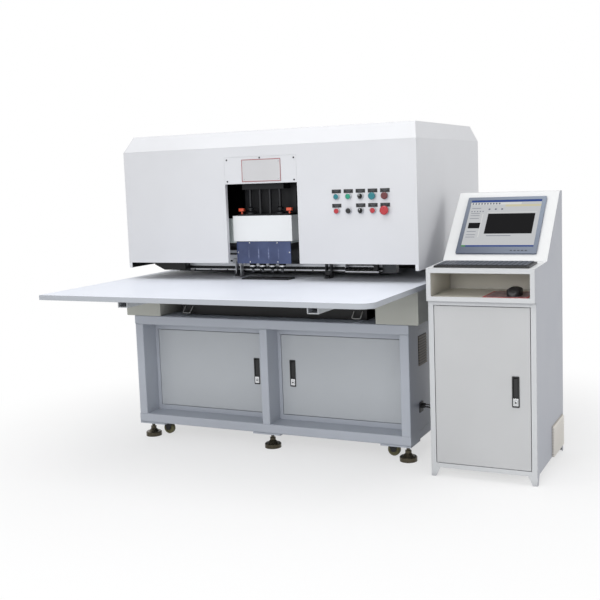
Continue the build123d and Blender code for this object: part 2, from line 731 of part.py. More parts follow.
def table_arms():
    low = TABLE_UNDER - ARM_SIZE
    pieces = []
    for side in SIDES:
        arm = block(*around(side * ARM_X, ARM_SIZE), -ARM_OUT, ARM_BACK, low, TABLE_UNDER)
        hollow = ARM_SIZE - 2 * ARM_WALL
        pieces.append(arm - block(*around(side * ARM_X, hollow), -ARM_OUT - OVERRUN, ARM_BACK + OVERRUN,
                                  low + ARM_WALL, TABLE_UNDER - ARM_WALL))
    for front in (CROSS_FRONT, CROSS_REAR):
        pieces.append(tube(-BEAM_INNER, BEAM_INNER, front, front + CROSS_SIZE, low - CROSS_SIZE, low,
                           Axis.X, BEAM_ROUND))
    return pieces


def die_plate():
    plate = block(*around(HEAD_X, DIE_WIDTH), *around(PUNCH_Y, DIE_DEPTH), TABLE_TOP, TABLE_TOP + DIE_THICK)
    for number in PUNCHES:
        plate -= rod_z(punch_x(number), PUNCH_Y, TABLE_TOP - OVERRUN, TABLE_TOP + DIE_THICK + OVERRUN,
                       TIP_RADIUS + DIE_GAP)
    return [plate]


def wire_pull(x):
    """Bent wire that stands out from the tray's front and hangs down."""
    top = TRAY_TOP - PULL_TOP
    half = PULL_WIDTH / 2
    front = TRAY_FRONT - PULL_OUT
    path = FilletPolyline((x - half, TRAY_FRONT, top), (x - half, front, top - PULL_DROP),
                          (x + half, front, top - PULL_DROP), (x + half, TRAY_FRONT, top), radius=PULL_BEND)
    return sweep(Plane(origin=path @ 0, z_dir=path % 0) * Circle(PULL_RADIUS), path=path)


def scrap_tray():
    tray = block(-TRAY_HALF, TRAY_HALF, TRAY_FRONT, TRAY_BACK, TRAY_LOW, TRAY_TOP)
    tray -= block(-TRAY_HALF + SHEET, TRAY_HALF - SHEET, TRAY_FRONT + SHEET, TRAY_BACK - SHEET,
                  TRAY_LOW + SHEET,
                  TRAY_TOP + OVERRUN)
    for side in SIDES:
        tray += wire_pull(side * PULL_X)
    return [tray]


# Head

def c_frame():
    pieces = []
    leg_inner, leg_rear = LEG_OUTER - LEG_WIDTH, LEG_FRONT + LEG_DEPTH
    pieces.append(block(-leg_inner, leg_inner, leg_rear - SHEET, leg_rear, BASE_TOP, GIRDER_LOW))
    for side in SIDES:
        pieces.append(tube(*span(side, LEG_OUTER - LEG_WIDTH, LEG_OUTER), LEG_FRONT, LEG_FRONT + LEG_DEPTH,
                           BASE_TOP, GIRDER_LOW, Axis.Z))
        pieces.append(tube(*span(side, GIRDER_INNER, GIRDER_OUTER), GIRDER_FRONT, GIRDER_BACK,
                           GIRDER_LOW, GIRDER_TOP, Axis.Y))
        for front in (OUTRIGGER_FRONT, REAR_GIRDER):
            pieces.append(block(*span(side, GIRDER_OUTER, HOUSING_HALF - SHEET), front, front + OUTRIGGER,
                                *around((GIRDER_LOW + GIRDER_TOP) / 2, OUTRIGGER)))
    for front in (FRONT_GIRDER, REAR_GIRDER):
        pieces.append(tube(-GIRDER_INNER, GIRDER_INNER, front, front + CROSS_GIRDER, GIRDER_LOW, GIRDER_TOP,
                           Axis.X))
    return pieces


def roof_plates():
    """Mansard roof of five plates that meet face to face."""
    front, back = HOUSING_FRONT + ROOF_FRONT, HOUSING_BACK - ROOF_REAR
    half = HOUSING_HALF - ROOF_SIDE
    middle, depth = (HOUSING_FRONT + HOUSING_BACK) / 2, HOUSING_BACK - HOUSING_FRONT
    low = Pos(0, middle, WALL_TOP) * Rectangle(HOUSING_WIDTH, depth)
    high = Pos(0, (front + back) / 2, ROOF_TOP) * Rectangle(2 * half, back - front)
    form = loft([low, high])
    under = ROOF_TOP - SHEET
    rise_share = (under - WALL_TOP) / ROOF_RISE
    front_low, front_high = HOUSING_FRONT + SHEET, HOUSING_FRONT + SHEET + ROOF_FRONT * rise_share
    back_low, back_high = HOUSING_BACK - SHEET, HOUSING_BACK - SHEET - ROOF_REAR * rise_share
    side_low, side_high = HOUSING_HALF - SHEET, HOUSING_HALF - SHEET - ROOF_SIDE * rise_share
    hollow = prism_x([(front_low, WALL_TOP), (back_low, WALL_TOP), (back_high, under), (front_high, under)],
                     -HOUSING_HALF, HOUSING_HALF)
    plates = [form & block(-HOUSING_HALF, HOUSING_HALF, HOUSING_FRONT, HOUSING_BACK, under, ROOF_TOP)]
    plates.append(form & prism_x([(HOUSING_FRONT, WALL_TOP), (front_low, WALL_TOP), (front_high, under),
                                  (HOUSING_FRONT, under)], -HOUSING_HALF, HOUSING_HALF))
    plates.append(form & prism_x([(HOUSING_BACK, WALL_TOP), (HOUSING_BACK, under), (back_high, under),
                                  (back_low, WALL_TOP)], -HOUSING_HALF, HOUSING_HALF))
    for side in SIDES:
        slope = [(side * HOUSING_HALF, WALL_TOP), (side * side_low, WALL_TOP), (side * side_high, under),
                 (side * HOUSING_HALF, under)]
        plates.append(form & prism_y(slope[::-side], HOUSING_FRONT, HOUSING_BACK) & hollow)
    return plates


def housing_shell():
    pieces = roof_plates()
    for side in SIDES:
        pieces.append(block(*span(side, HOUSING_HALF - SHEET, HOUSING_HALF), PANEL_BACK, HOUSING_BACK,
                            HOUSING_LOW, WALL_TOP))
        pieces.append(block(*span(side, HOUSING_HALF - HOUSING_FLANGE, HOUSING_HALF), HOUSING_FRONT,
                            PANEL_BACK,
                            HOUSING_LOW, FRONT_LOW))
    inner = HOUSING_HALF - SHEET
    pieces.append(block(-inner, inner, HOUSING_BACK - SHEET, HOUSING_BACK, HOUSING_LOW, WALL_TOP))
    return pieces


def front_panel():
    """Two wide sheets and a lintel, with folded returns at the opening and strips behind the cover."""
    lap = OPENING_HALF + COVER_LAP
    strip_back = PANEL_BACK + SHEET
    pieces = [block(-OPENING_HALF, OPENING_HALF, HOUSING_FRONT, PANEL_BACK, COVER_TOP, WALL_TOP),
              block(-lap, lap, PANEL_BACK, strip_back, COVER_TOP - COVER_LAP, COVER_TOP + COVER_LAP)]
    for side in SIDES:
        pieces.append(block(*span(side, OPENING_HALF, HOUSING_HALF), HOUSING_FRONT, PANEL_BACK, FRONT_LOW,
                            WALL_TOP))
        pieces.append(block(*span(side, OPENING_HALF, OPENING_HALF + SHEET), PANEL_BACK,
                            PANEL_BACK + OPENING_RETURN,
                            FRONT_LOW, OPENING_TOP))
        pieces.append(block(*span(side, OPENING_HALF - COVER_LAP, lap), PANEL_BACK, strip_back,
                            OPENING_TOP, COVER_TOP - COVER_LAP))
    return pieces


def opening_cover():
    half = OPENING_HALF - COVER_GAP
    return [block(-half, half, HOUSING_FRONT, PANEL_BACK, OPENING_TOP, COVER_TOP - COVER_GAP)]


def punch_mount():
    plate_low = GUARD_LOW + MOUNT_LOW
    guide = block(*around(HEAD_X, 2 * (MOUNT_HALF - GUIDE_SIDE)), GUIDE_FRONT, MOUNT_FRONT, GUIDE_LOW,
                  GUIDE_TOP)
    for number in PUNCHES:
        guide -= rod_z(punch_x(number), PUNCH_Y, GUIDE_LOW - OVERRUN, GUIDE_TOP + OVERRUN,
                       ROD_RADIUS + RUNNING_GAP)
    pieces = [guide]
    pieces.append(block(*around(HEAD_X, 2 * MOUNT_HALF), MOUNT_FRONT, FRONT_GIRDER, plate_low, GUARD_TOP))
    pieces.append(block(*around(HEAD_X, 2 * (MOUNT_HALF + MOUNT_EAR)), MOUNT_FRONT, FRONT_GIRDER, GUARD_TOP,
                        CAP_LOW))
    bracket = HEAD_X - PUNCH_COVER_WIDTH / 2 - BRACKET_GAP
    pieces.append(block(bracket - BRACKET_WIDTH, bracket, BRACKET_FRONT, MOUNT_FRONT,
                        GUARD_TOP - BRACKET_DROP, CAP_LOW - BRACKET_DROP))
    for side in SIDES:
        x0, x1 = span(side, MOUNT_HALF - CHEEK, MOUNT_HALF)
        pieces.append(block(HEAD_X + x0, HEAD_X + x1, GUARD_BACK, MOUNT_FRONT, plate_low, GUIDE_LOW))
        x0, x1 = span(side, MOUNT_HALF - GUIDE_SIDE, PUNCH_COVER_WIDTH / 2 - SHEET)
        pieces.append(block(HEAD_X + x0, HEAD_X + x1, GUIDE_FRONT, MOUNT_FRONT, GUIDE_LOW, GUIDE_TOP))
    return pieces


def punch_cover():
    half = PUNCH_COVER_WIDTH / 2
    cover = block(*around(HEAD_X, 2 * half), PUNCH_COVER_FRONT, MOUNT_FRONT, GUARD_TOP, PUNCH_COVER_TOP)
    return [cover - block(*around(HEAD_X, 2 * (half - SHEET)), PUNCH_COVER_FRONT + SHEET,
                          MOUNT_FRONT + OVERRUN,
                          GUARD_TOP - OVERRUN, PUNCH_COVER_TOP + OVERRUN)]


def guard_plate():
    return [block(*around(HEAD_X, GUARD_WIDTH), GUARD_FRONT, GUARD_BACK, GUARD_LOW, GUARD_TOP)]


def cylinder_outline(buffer):
    """Outline of one air cylinder, with or without the rubber buffer at its foot."""
    outline = [(0, CAP_TOP)]
    if buffer:
        neck = CAP_TOP + BUFFER_RIM + BUFFER_TAPER
        collar = neck + BUFFER_NECK_HEIGHT
        outline += [(BUFFER_RADIUS, CAP_TOP), (BUFFER_RADIUS, CAP_TOP + BUFFER_RIM), (BUFFER_NECK, neck),
                    (BUFFER_NECK, collar), (BUFFER_COLLAR, collar), (BUFFER_COLLAR, collar + BUFFER_RIM),
                    (CYLINDER_RADIUS, collar + BUFFER_RIM + BUFFER_TAPER)]
    else:
        outline.append((CYLINDER_RADIUS, CAP_TOP))
    return outline + [(CYLINDER_RADIUS, CYLINDER_TOP), (0, CYLINDER_TOP)]


def punch_cylinders():
    cap = block(*around(HEAD_X, 2 * CAP_HALF), GUIDE_FRONT, MOUNT_FRONT, CAP_LOW, CAP_TOP)
    pieces = []
    bore = PISTON_RADIUS + RUNNING_GAP
    for number in PUNCHES:
        x = punch_x(number)
        cap -= rod_z(x, PUNCH_Y, CAP_LOW - OVERRUN, CAP_TOP + OVERRUN, CYLINDER_RADIUS)
        buffer = number in (0, PUNCH_COUNT - 1)
        barrel = Pos(x, PUNCH_Y, 0) * turned(cylinder_outline(buffer))
        barrel -= rod_z(x, PUNCH_Y, CAP_TOP - OVERRUN, CAP_TOP + CYLINDER_BORE_DEPTH, bore)
        pieces.append(barrel)
    back = block(*around(HEAD_X, 2 * CAP_HALF), MOUNT_FRONT, FRONT_GIRDER, CAP_LOW,
                 CYLINDER_TOP + HEADER_HEIGHT)
    header = block(*around(HEAD_X, 2 * HEADER_HALF), HEADER_FRONT, MOUNT_FRONT, CYLINDER_TOP,
                   CYLINDER_TOP + HEADER_HEIGHT)
    return pieces + [cap, back, header]


def punch(number):
    holder_low = TIP_Z + TIP_LENGTH + HOLDER_TAPER
    holder_top = holder_low + HOLDER_LENGTH
    rod_top = GUIDE_TOP + PUNCH_TRAVEL + OVERRUN
    piston_top = CAP_TOP + CYLINDER_BORE_DEPTH - OVERRUN
    outline = [(0, TIP_Z), (TIP_RADIUS, TIP_Z), (TIP_RADIUS, TIP_Z + TIP_LENGTH),
               (HOLDER_RADIUS, holder_low),
               (HOLDER_RADIUS, holder_top), (ROD_RADIUS, holder_top + HOLDER_TAPER), (ROD_RADIUS, rod_top),
               (PISTON_RADIUS, rod_top), (PISTON_RADIUS, piston_top), (0, piston_top)]
    return [Pos(punch_x(number), PUNCH_Y, 0) * turned(outline)]


def air_fittings():
    pieces = []
    for side in SIDES:
        x = HEAD_X + side * FITTING_X
        low = CAP_TOP + FITTING_LIFT
        body = block(*around(x, FITTING_WIDTH), *around(PUNCH_Y, FITTING_DEPTH), low, low + FITTING_HEIGHT)
        body = fillet(body.edges().filter_by(Axis.X), FITTING_POST / 2)
        pieces.append(body + rod_z(x, PUNCH_Y, CAP_TOP, low, FITTING_POST))
    return pieces


# Feed

def y_rails():
    return [block(*around(side * GIRDER_X, RAIL_WIDTH), RAIL_FRONT, RAIL_BACK,
                  GIRDER_LOW - RAIL_HEIGHT, GIRDER_LOW) for side in SIDES]


def cross_beam():
    beam = block(-FEED_HALF, FEED_HALF, FEED_FRONT, FEED_BACK, FEED_LOW, FEED_TOP)
    for number in range(GROOVE_COUNT):
        middle = FEED_LOW + (number + 1 / 2) * GROOVE_STEP
        beam -= block(-FEED_HALF - OVERRUN, FEED_HALF + OVERRUN, FEED_FRONT - OVERRUN,
                      FEED_FRONT + GROOVE_DEPTH,
                      *around(middle, GROOVE_WIDTH))
    pieces = [beam]
    shoe_top = GIRDER_LOW - SHOE_CLEAR
    shoe_low = shoe_top - SHOE_HEIGHT
    for side in SIDES:
        shoe = block(*around(side * GIRDER_X, SHOE_WIDTH),
                     *around((FEED_FRONT + FEED_BACK) / 2, SHOE_LENGTH), shoe_low, shoe_top)
        shoe -= block(*around(side * GIRDER_X, RAIL_WIDTH + 2 * SLIDE_GAP), FEED_FRONT - SHOE_LENGTH,
                      FEED_BACK + SHOE_LENGTH,
                      GIRDER_LOW - RAIL_HEIGHT - SLIDE_GAP, shoe_top + OVERRUN)
        pieces.append(shoe)
        pieces.append(block(*span(side, FEED_HALF, GIRDER_X + SHOE_WIDTH / 2), FEED_FRONT, FEED_BACK,
                            FEED_LOW, shoe_low))
    right = CHAIN_TRAY_LEFT + CHAIN_TRAY_LENGTH
    front = FEED_FRONT - CHAIN_TRAY_DEPTH
    tray = block(CHAIN_TRAY_LEFT, right, front, FEED_FRONT, FEED_LOW, FEED_LOW + SHEET)
    tray += block(CHAIN_TRAY_LEFT, right, front, front + SHEET, FEED_LOW, FEED_LOW + CHAIN_TRAY_LIP)
    tray += block(CHAIN_TRAY_LEFT, CHAIN_TRAY_LEFT + SHEET, front, FEED_FRONT, FEED_LOW,
                  FEED_LOW + CHAIN_TRAY_END)
    pieces.append(tray)
    return pieces


def chain_run(low):
    """Straight run of alternating wide and narrow links."""
    front = FEED_FRONT - CHAIN_TRAY_DEPTH + SHEET + CHAIN_SETBACK
    start = CHAIN_TRAY_LEFT + SHEET
    run = None
    for number in range(CHAIN_LINKS):
        waist = CHAIN_WAIST if number % 2 else 0
        x = start + number * CHAIN_PITCH
        link = block(x, x + CHAIN_PITCH + CHAIN_OVERLAP, front + waist, front + CHAIN_WIDTH - waist, low,
                     low + CHAIN_LINK - waist)
        run = link if run is None else run + link
    return run


def feed_drive():
    """Belt drive's housing on the left end of the cross beam."""
    outer, inner = -FEED_HALF - DRIVE_OUT, -FEED_HALF + DRIVE_LAP
    low = FEED_LOW + DRIVE_RISE
    high = low + DRIVE_HEIGHT
    outline = [(outer, high), (outer, low + DRIVE_SLOPE), (outer + DRIVE_TAPER, low), (inner, low),
               (inner, high)]
    housing = prism_y(outline, FEED_FRONT - DRIVE_DEPTH, FEED_FRONT)
    front = housing.faces().sort_by(Axis.Y)[0]
    return [chamfer(front.edges(), DRIVE_BEVEL)]


def drag_chain():
    low = FEED_LOW + SHEET
    front = FEED_FRONT - CHAIN_TRAY_DEPTH + SHEET + CHAIN_SETBACK
    middle = low + CHAIN_LINK + CHAIN_BEND
    turn = CHAIN_TRAY_LEFT + SHEET + CHAIN_LINKS * CHAIN_PITCH
    outer = CHAIN_LINK + CHAIN_BEND
    ring = rod_y(turn, middle, front, front + CHAIN_WIDTH, outer)
    ring -= rod_y(turn, middle, front - OVERRUN, front + CHAIN_WIDTH + OVERRUN, CHAIN_BEND)
    bend = ring & block(turn, turn + outer, front, front + CHAIN_WIDTH, middle - outer, middle + outer)
    return [bend + chain_run(low) + chain_run(middle + CHAIN_BEND)]


def clamp_carriage():
    bar = block(CARRIAGE_LEFT, CARRIAGE_RIGHT, CARRIAGE_FRONT, CARRIAGE_BACK,
                *around(CARRIAGE_Z, CARRIAGE_HEIGHT))
    bar += block(CARRIAGE_LEFT, CARRIAGE_RIGHT, CARRIAGE_BACK, CARRIAGE_BACK + TONGUE_DEPTH,
                 *around(CARRIAGE_Z, GROOVE_WIDTH - 2 * SLIDE_GAP))
    pieces = [bar]
    for x in CLAMPS_X:
        yoke = block(*around(x, 2 * YOKE_HALF), YOKE_FRONT - JAW_REACH, CARRIAGE_FRONT, JAW_LOW, JAW_TOP)
        for side in SIDES:
            x0, x1 = span(side, YOKE_HALF - YOKE_SIDE, YOKE_HALF)
            yoke += block(x + x0, x + x1, YOKE_FRONT, CARRIAGE_FRONT, JAW_TOP, CARRIAGE_Z)
        yoke += rod_x(JAW_PIN_Y, JAW_PIN_Z, *around(x, 2 * YOKE_HALF), JAW_PIN_RADIUS)
        pieces.append(yoke)
    return pieces


def clamp_jaws():
    """Rocking upper jaws, one in each yoke."""
    low = JAW_TOP + JAW_GAP
    high = low + JAW_HEIGHT
    tip = YOKE_FRONT - JAW_REACH
    nose = JAW_PIN_RADIUS * 2
    heel = JAW_PIN_Y + nose
    outline = [(tip, low), (YOKE_FRONT - nose, low), (YOKE_FRONT, JAW_PIN_Z - 2 * nose),
               (heel, JAW_PIN_Z - nose),
               (heel, high), (JAW_PIN_Y - nose, high), (YOKE_FRONT - nose, low + 2 * nose),
               (tip, low + nose)]
    half = YOKE_HALF - YOKE_SIDE - JAW_SIDE_GAP
    hole = JAW_PIN_RADIUS + RUNNING_GAP
    jaw = prism_x(outline, -half, half) - rod_x(JAW_PIN_Y, JAW_PIN_Z, -2 * half, 2 * half, hole)
    return [Pos(x, 0, 0) * jaw for x in CLAMPS_X]


# Controls on the front panel

def on_panel(place, shape):
    """Stand a turned shape on the front panel, facing the operator."""
    column, row = place
    x = BUTTON_X + column * BUTTON_STEP
    return Pos(x, HOUSING_FRONT, BUTTON_LOW + row * BUTTON_ROW) * Rot(QUARTER_TURN, 0, 0) * shape


def button_bezels():
    bore = BUTTON_RADIUS + RUNNING_GAP
    outline = [(bore, 0), (BEZEL_RADIUS, 0), (BEZEL_RADIUS, BEZEL_HEIGHT - BEZEL_BEVEL),
               (BEZEL_RADIUS - BEZEL_BEVEL, BEZEL_HEIGHT), (bore, BEZEL_HEIGHT)]
    return [on_panel((column, row), turned(outline)) for row in (0, 1) for column in range(BUTTON_COUNT)]


def push_button(place):
    low = BUTTON_TRAVEL + BUTTON_REST
    high = BEZEL_HEIGHT + BUTTON_PROUD
    outline = [(0, low), (BUTTON_RADIUS, low), (BUTTON_RADIUS, high - BEZEL_BEVEL),
               (BUTTON_RADIUS - BEZEL_BEVEL, high), (0, high)]
    return [on_panel(place, turned(outline))]


def selector(place):
    disc = turned([(0, BUTTON_REST), (BUTTON_RADIUS, BUTTON_REST), (BUTTON_RADIUS, BEZEL_HEIGHT),
                   (0, BEZEL_HEIGHT)])
    grip = block(*around(0, GRIP_WIDTH), *around(0, GRIP_LENGTH), BEZEL_HEIGHT, BEZEL_HEIGHT + GRIP_HEIGHT)
    grip = fillet(grip.edges().filter_by(Axis.Z), GRIP_WIDTH / 3)
    return [on_panel(place, disc + grip)]


def broad_button(place, radius, height, crown, travel):
    """Button whose head is wider than its bezel, with room to travel below the head."""
    low = travel + BUTTON_REST
    head = BEZEL_HEIGHT + travel + BUTTON_REST
    outline = [(0, low), (BUTTON_RADIUS, low), (BUTTON_RADIUS, head), (radius, head),
               (radius, head + height - crown), (radius - crown, head + height), (0, head + height)]
    return [on_panel(place, turned(outline))]


def lamp(place):
    high = BEZEL_HEIGHT + BROAD_HEIGHT
    outline = [(0, 0), (BUTTON_RADIUS, 0), (BUTTON_RADIUS, BEZEL_HEIGHT), (BROAD_RADIUS, BEZEL_HEIGHT),
               (BROAD_RADIUS, high - BROAD_CROWN), (BROAD_RADIUS - BROAD_CROWN, high), (0, high)]
    return [on_panel(place, turned(outline))]


# Console

def console_sides(x0, x1):
    """One side sheet, from the convex areas that make up its outline."""
    low = CONSOLE_FOOT
    return [block(x0, x1, CONSOLE_FRONT, CONSOLE_BACK, low, SHELF_TOP),
            block(x0, x1, SHELF_FRONT, CONSOLE_FRONT, SHELF_LOW, SHELF_TOP),
            prism_x([(SHELF_FRONT, SHELF_TOP), (DECK_BACK, SHELF_TOP), (DECK_BACK, DECK_TOP)], x0, x1),
            prism_x([(DECK_BACK, SHELF_TOP), (CONSOLE_BACK, SHELF_TOP), (CONSOLE_BACK, CONSOLE_TOP),
                     (FASCIA_BACK, CONSOLE_TOP), (DECK_BACK, DECK_TOP)], x0, x1)]


def console_foot():
    """Folded corner foot that narrows to the floor, for the front left corner."""
    outline = [(0, 0), (CONSOLE_FOOT_TIP, 0), (CONSOLE_FOOT_TOP, CONSOLE_FOOT), (0, CONSOLE_FOOT)]
    return prism_y(outline, 0, SHEET) + prism_x(outline, 0, SHEET)


def console_feet():
    foot = console_foot()
    corner = Pos(CONSOLE_LEFT, CONSOLE_FRONT, 0)
    middle = (CONSOLE_MIDDLE, (CONSOLE_FRONT + CONSOLE_BACK) / 2, 0)
    across = Plane(origin=middle, x_dir=(0, 1, 0), z_dir=(1, 0, 0))
    along = Plane(origin=middle, x_dir=(1, 0, 0), z_dir=(0, 1, 0))
    front = [corner * foot, mirror(corner * foot, about=across)]
    return front + [mirror(piece, about=along) for piece in front]


def console_front_frame(x0, x1):
    """Stiles, sill and head rail around the console door, with its hinge pins."""
    back = CONSOLE_FRONT + CONSOLE_STILE_DEPTH
    low = CONSOLE_FOOT
    left, right = console_door_span()
    sill, head = low + CONSOLE_SILL, SHELF_LOW - CONSOLE_HEAD
    pieces = [block(x0, left - DOOR_GAP, CONSOLE_FRONT, back, low, SHELF_LOW),
              block(right + DOOR_GAP, x1, CONSOLE_FRONT, back, low, SHELF_LOW),
              block(left - DOOR_GAP, right + DOOR_GAP, CONSOLE_FRONT, back, low, sill),
              block(left - DOOR_GAP, right + DOOR_GAP, CONSOLE_FRONT, back, head, SHELF_LOW)]
    return pieces + hinge_pins(left, -1, CONSOLE_FRONT, sill + DOOR_GAP, head - DOOR_GAP)


def console_door_span():
    return CONSOLE_LEFT + CONSOLE_STILE + DOOR_GAP, CONSOLE_RIGHT - CONSOLE_STILE - DOOR_GAP


def console_shelf(x0, x1):
    """Open shelf with its folded lips, and the keyboard deck above it."""
    front_back = SHELF_FRONT + SHEET
    left, right = CONSOLE_LEFT + SHELF_LIP, CONSOLE_RIGHT - SHELF_LIP
    floor, ceiling = SHELF_FLOOR, SHELF_CEILING
    return [block(x0, x1, SHELF_FRONT, front_back, SHELF_LOW, floor),
            block(x0, x1, SHELF_FRONT, front_back, ceiling, SHELF_TOP - SHEET),
            block(x0, left, SHELF_FRONT, front_back, floor, ceiling),
            block(right, x1, SHELF_FRONT, front_back, floor, ceiling),
            block(x0, x1, front_back, SHELF_BACK, floor - SHEET, floor),
            block(x0, x1, front_back, SHELF_BACK, ceiling, ceiling + SHEET),
            block(left - SHEET, left, front_back, SHELF_BACK, floor, ceiling),
            block(right, right + SHEET, front_back, SHELF_BACK, floor, ceiling),
            block(x0, x1, SHELF_BACK, SHELF_BACK + SHEET, floor - SHEET, ceiling + SHEET),
            block(x0, x1, front_back, CONSOLE_FRONT, SHELF_LOW, SHELF_LOW + SHEET),
            prism_x([(SHELF_FRONT, SHELF_TOP - SHEET), (DECK_BACK, DECK_TOP - SHEET), (DECK_BACK, DECK_TOP),
                     (SHELF_FRONT, SHELF_TOP)], x0, x1)]


def console_cabinet():
    x0, x1 = CONSOLE_LEFT + SHEET, CONSOLE_RIGHT - SHEET
    pieces = console_sides(CONSOLE_LEFT, x0) + console_sides(x1, CONSOLE_RIGHT)
    pieces += console_feet() + console_front_frame(x0, x1) + console_shelf(x0, x1)
    pieces.append(prism_x([(DECK_BACK, DECK_TOP), (DECK_BACK, DECK_TOP - SHEET),
                           (FASCIA_BACK, CONSOLE_TOP - SHEET),
                           (FASCIA_BACK, CONSOLE_TOP)], x0, x1))
    pieces.append(block(x0, x1, FASCIA_BACK, CONSOLE_BACK, CONSOLE_TOP - SHEET, CONSOLE_TOP))
    pieces.append(block(x0, x1, CONSOLE_BACK - SHEET, CONSOLE_BACK, CONSOLE_FOOT, CONSOLE_TOP - SHEET))
    pieces.append(block(x0, x1, CONSOLE_FRONT + CONSOLE_STILE_DEPTH, CONSOLE_BACK - SHEET, CONSOLE_FOOT,
                        CONSOLE_FOOT + SHEET))
    return pieces


CONSOLE_LOCK_X = console_door_span()[1] - CONSOLE_LOCK_EDGE


def console_door():
    left, right = console_door_span()
    low = CONSOLE_FOOT + CONSOLE_SILL + DOOR_GAP
    high = SHELF_LOW - CONSOLE_HEAD - DOOR_GAP
    return [hung_door(left, right, low, high, CONSOLE_FRONT, -1, CONSOLE_LOCK_X, CONSOLE_LOCK_LOW)]


def monitor():
    frame = Pos(0, 0, MONITOR_PROUD / 2) * Box(MONITOR_WIDTH, MONITOR_HEIGHT, MONITOR_PROUD)
    frame = fillet(frame.edges().filter_by(Axis.Z), MONITOR_ROUND)
    height = MONITOR_HEIGHT - MONITOR_BEZEL - MONITOR_CHIN
    screen = Box(MONITOR_WIDTH - 2 * MONITOR_BEZEL, height, 2 * MONITOR_RECESS)
    frame -= Pos(0, (MONITOR_CHIN - MONITOR_BEZEL) / 2, MONITOR_PROUD) * screen
    return [slope_plane(CONSOLE_MIDDLE, DECK_BACK, DECK_TOP, FASCIA_BACK, CONSOLE_TOP) * frame]


def keyboard():
    base = Pos(0, 0, KEYBOARD_THICK / 2) * Box(KEYBOARD_WIDTH, KEYBOARD_DEPTH, KEYBOARD_THICK)
    base = fillet(base.edges().filter_by(Axis.Z), KEY_MARGIN / 2)
    width = (KEYBOARD_WIDTH - 2 * KEY_MARGIN) / KEY_COLUMNS
    depth = (KEYBOARD_DEPTH - 2 * KEY_MARGIN) / KEY_ROWS
    keys = [Pos((column + 1 / 2) * width - KEYBOARD_WIDTH / 2 + KEY_MARGIN,
                (row + 1 / 2) * depth - KEYBOARD_DEPTH / 2 + KEY_MARGIN, KEYBOARD_THICK)
            * Box(width - KEY_GAP, depth - KEY_GAP, 2 * KEY_HEIGHT)
            for row in range(KEY_ROWS) for column in range(KEY_COLUMNS)]
    board = base + keys
    deck = slope_plane(CONSOLE_MIDDLE, SHELF_FRONT, SHELF_TOP, DECK_BACK, DECK_TOP)
    setback = KEYBOARD_SETBACK + KEYBOARD_DEPTH / 2 - (DECK_BACK - SHELF_FRONT) / 2
    return [deck * Pos(0, setback, 0) * board]


def mouse_and_pad():
    shell = extrude(SlotOverall(MOUSE_LENGTH, MOUSE_WIDTH, rotation=QUARTER_TURN), amount=MOUSE_HEIGHT)
    shell &= rod_x(0, MOUSE_HEIGHT - MOUSE_ARCH, -MOUSE_WIDTH, MOUSE_WIDTH, MOUSE_ARCH)
    crown = rod_y(0, MOUSE_HEIGHT - MOUSE_CROWN, -MOUSE_LENGTH, MOUSE_LENGTH, MOUSE_CROWN)
    shell &= crown + block(-MOUSE_WIDTH / 2, MOUSE_WIDTH / 2, -MOUSE_LENGTH, MOUSE_LENGTH, 0,
                           MOUSE_HEIGHT - MOUSE_CROWN)
    right = CONSOLE_RIGHT - SHELF_LIP - PAD_EDGE
    front = SHELF_FRONT + PAD_EDGE
    pad_top = SHELF_FLOOR + PAD_SHEET
    pad = block(right - PAD_WIDTH, right, front, front + PAD_DEPTH, SHELF_FLOOR, pad_top)
    return [pad + Pos(CONSOLE_RIGHT - MOUSE_EDGE, SHELF_FRONT + SHELF_OUT + MOUSE_BACK, pad_top) * shell]


# Cables

def cable(route, radius, name):
    """Tube along the route, with each corner rounded as far as its two runs allow."""
    points = [Vector(*point) for point in route]
    radii = []
    for before, corner, after in zip(points, points[1:], points[2:]):
        arriving, leaving = corner - before, after - corner
        half_turn = arriving.get_angle(leaving) / 2
        shorter = min(arriving.length, leaving.length)
        radii.append(ARC_SHARE * shorter / Vector(1, 0).rotate(Axis.Z, half_turn).Y
                     * Vector(1, 0).rotate(Axis.Z, half_turn).X)
    print(name, "bend radii", [round(value) for value in radii])
    path = FilletPolyline(*points, radius=radii)
    tube_solid = sweep(Plane(origin=path @ 0, z_dir=path % 0) * Circle(radius), path=path)
    print(name, "length", round(path.length), "volume", round(tube_solid.volume))
    return [tube_solid]


def cable_glands():
    face = BASE_HALF - PANEL_INSET
    plate = block(face, face + GLAND_PLATE, INLET_FRONT, INLET_FRONT + INLET_LENGTH, INLET_LOW,
                  INLET_LOW + INLET_HEIGHT)
    pieces = []
    for route, radius in ((POWER_ROUTE, POWER_RADIUS), (SIGNAL_ROUTE, SIGNAL_RADIUS)):
        x, y, z = route[0]
        plate += rod_x(y, z, face + GLAND_PLATE / 2, face + GLAND_PLATE + GLAND_LENGTH, radius + GLAND_WALL)
        x, y, z = route[-1]
        pieces.append(rod_x(y, z, CONSOLE_LEFT - GROMMET_LENGTH, CONSOLE_LEFT, radius + GLAND_WALL))
    box = block(-BEAM_OUTER - SWITCH_LENGTH, -BEAM_OUTER, SWITCH_FRONT, SWITCH_FRONT + SWITCH_DEPTH,
                SWITCH_LOW, SWITCH_LOW + SWITCH_HEIGHT)
    return [plate, box] + pieces


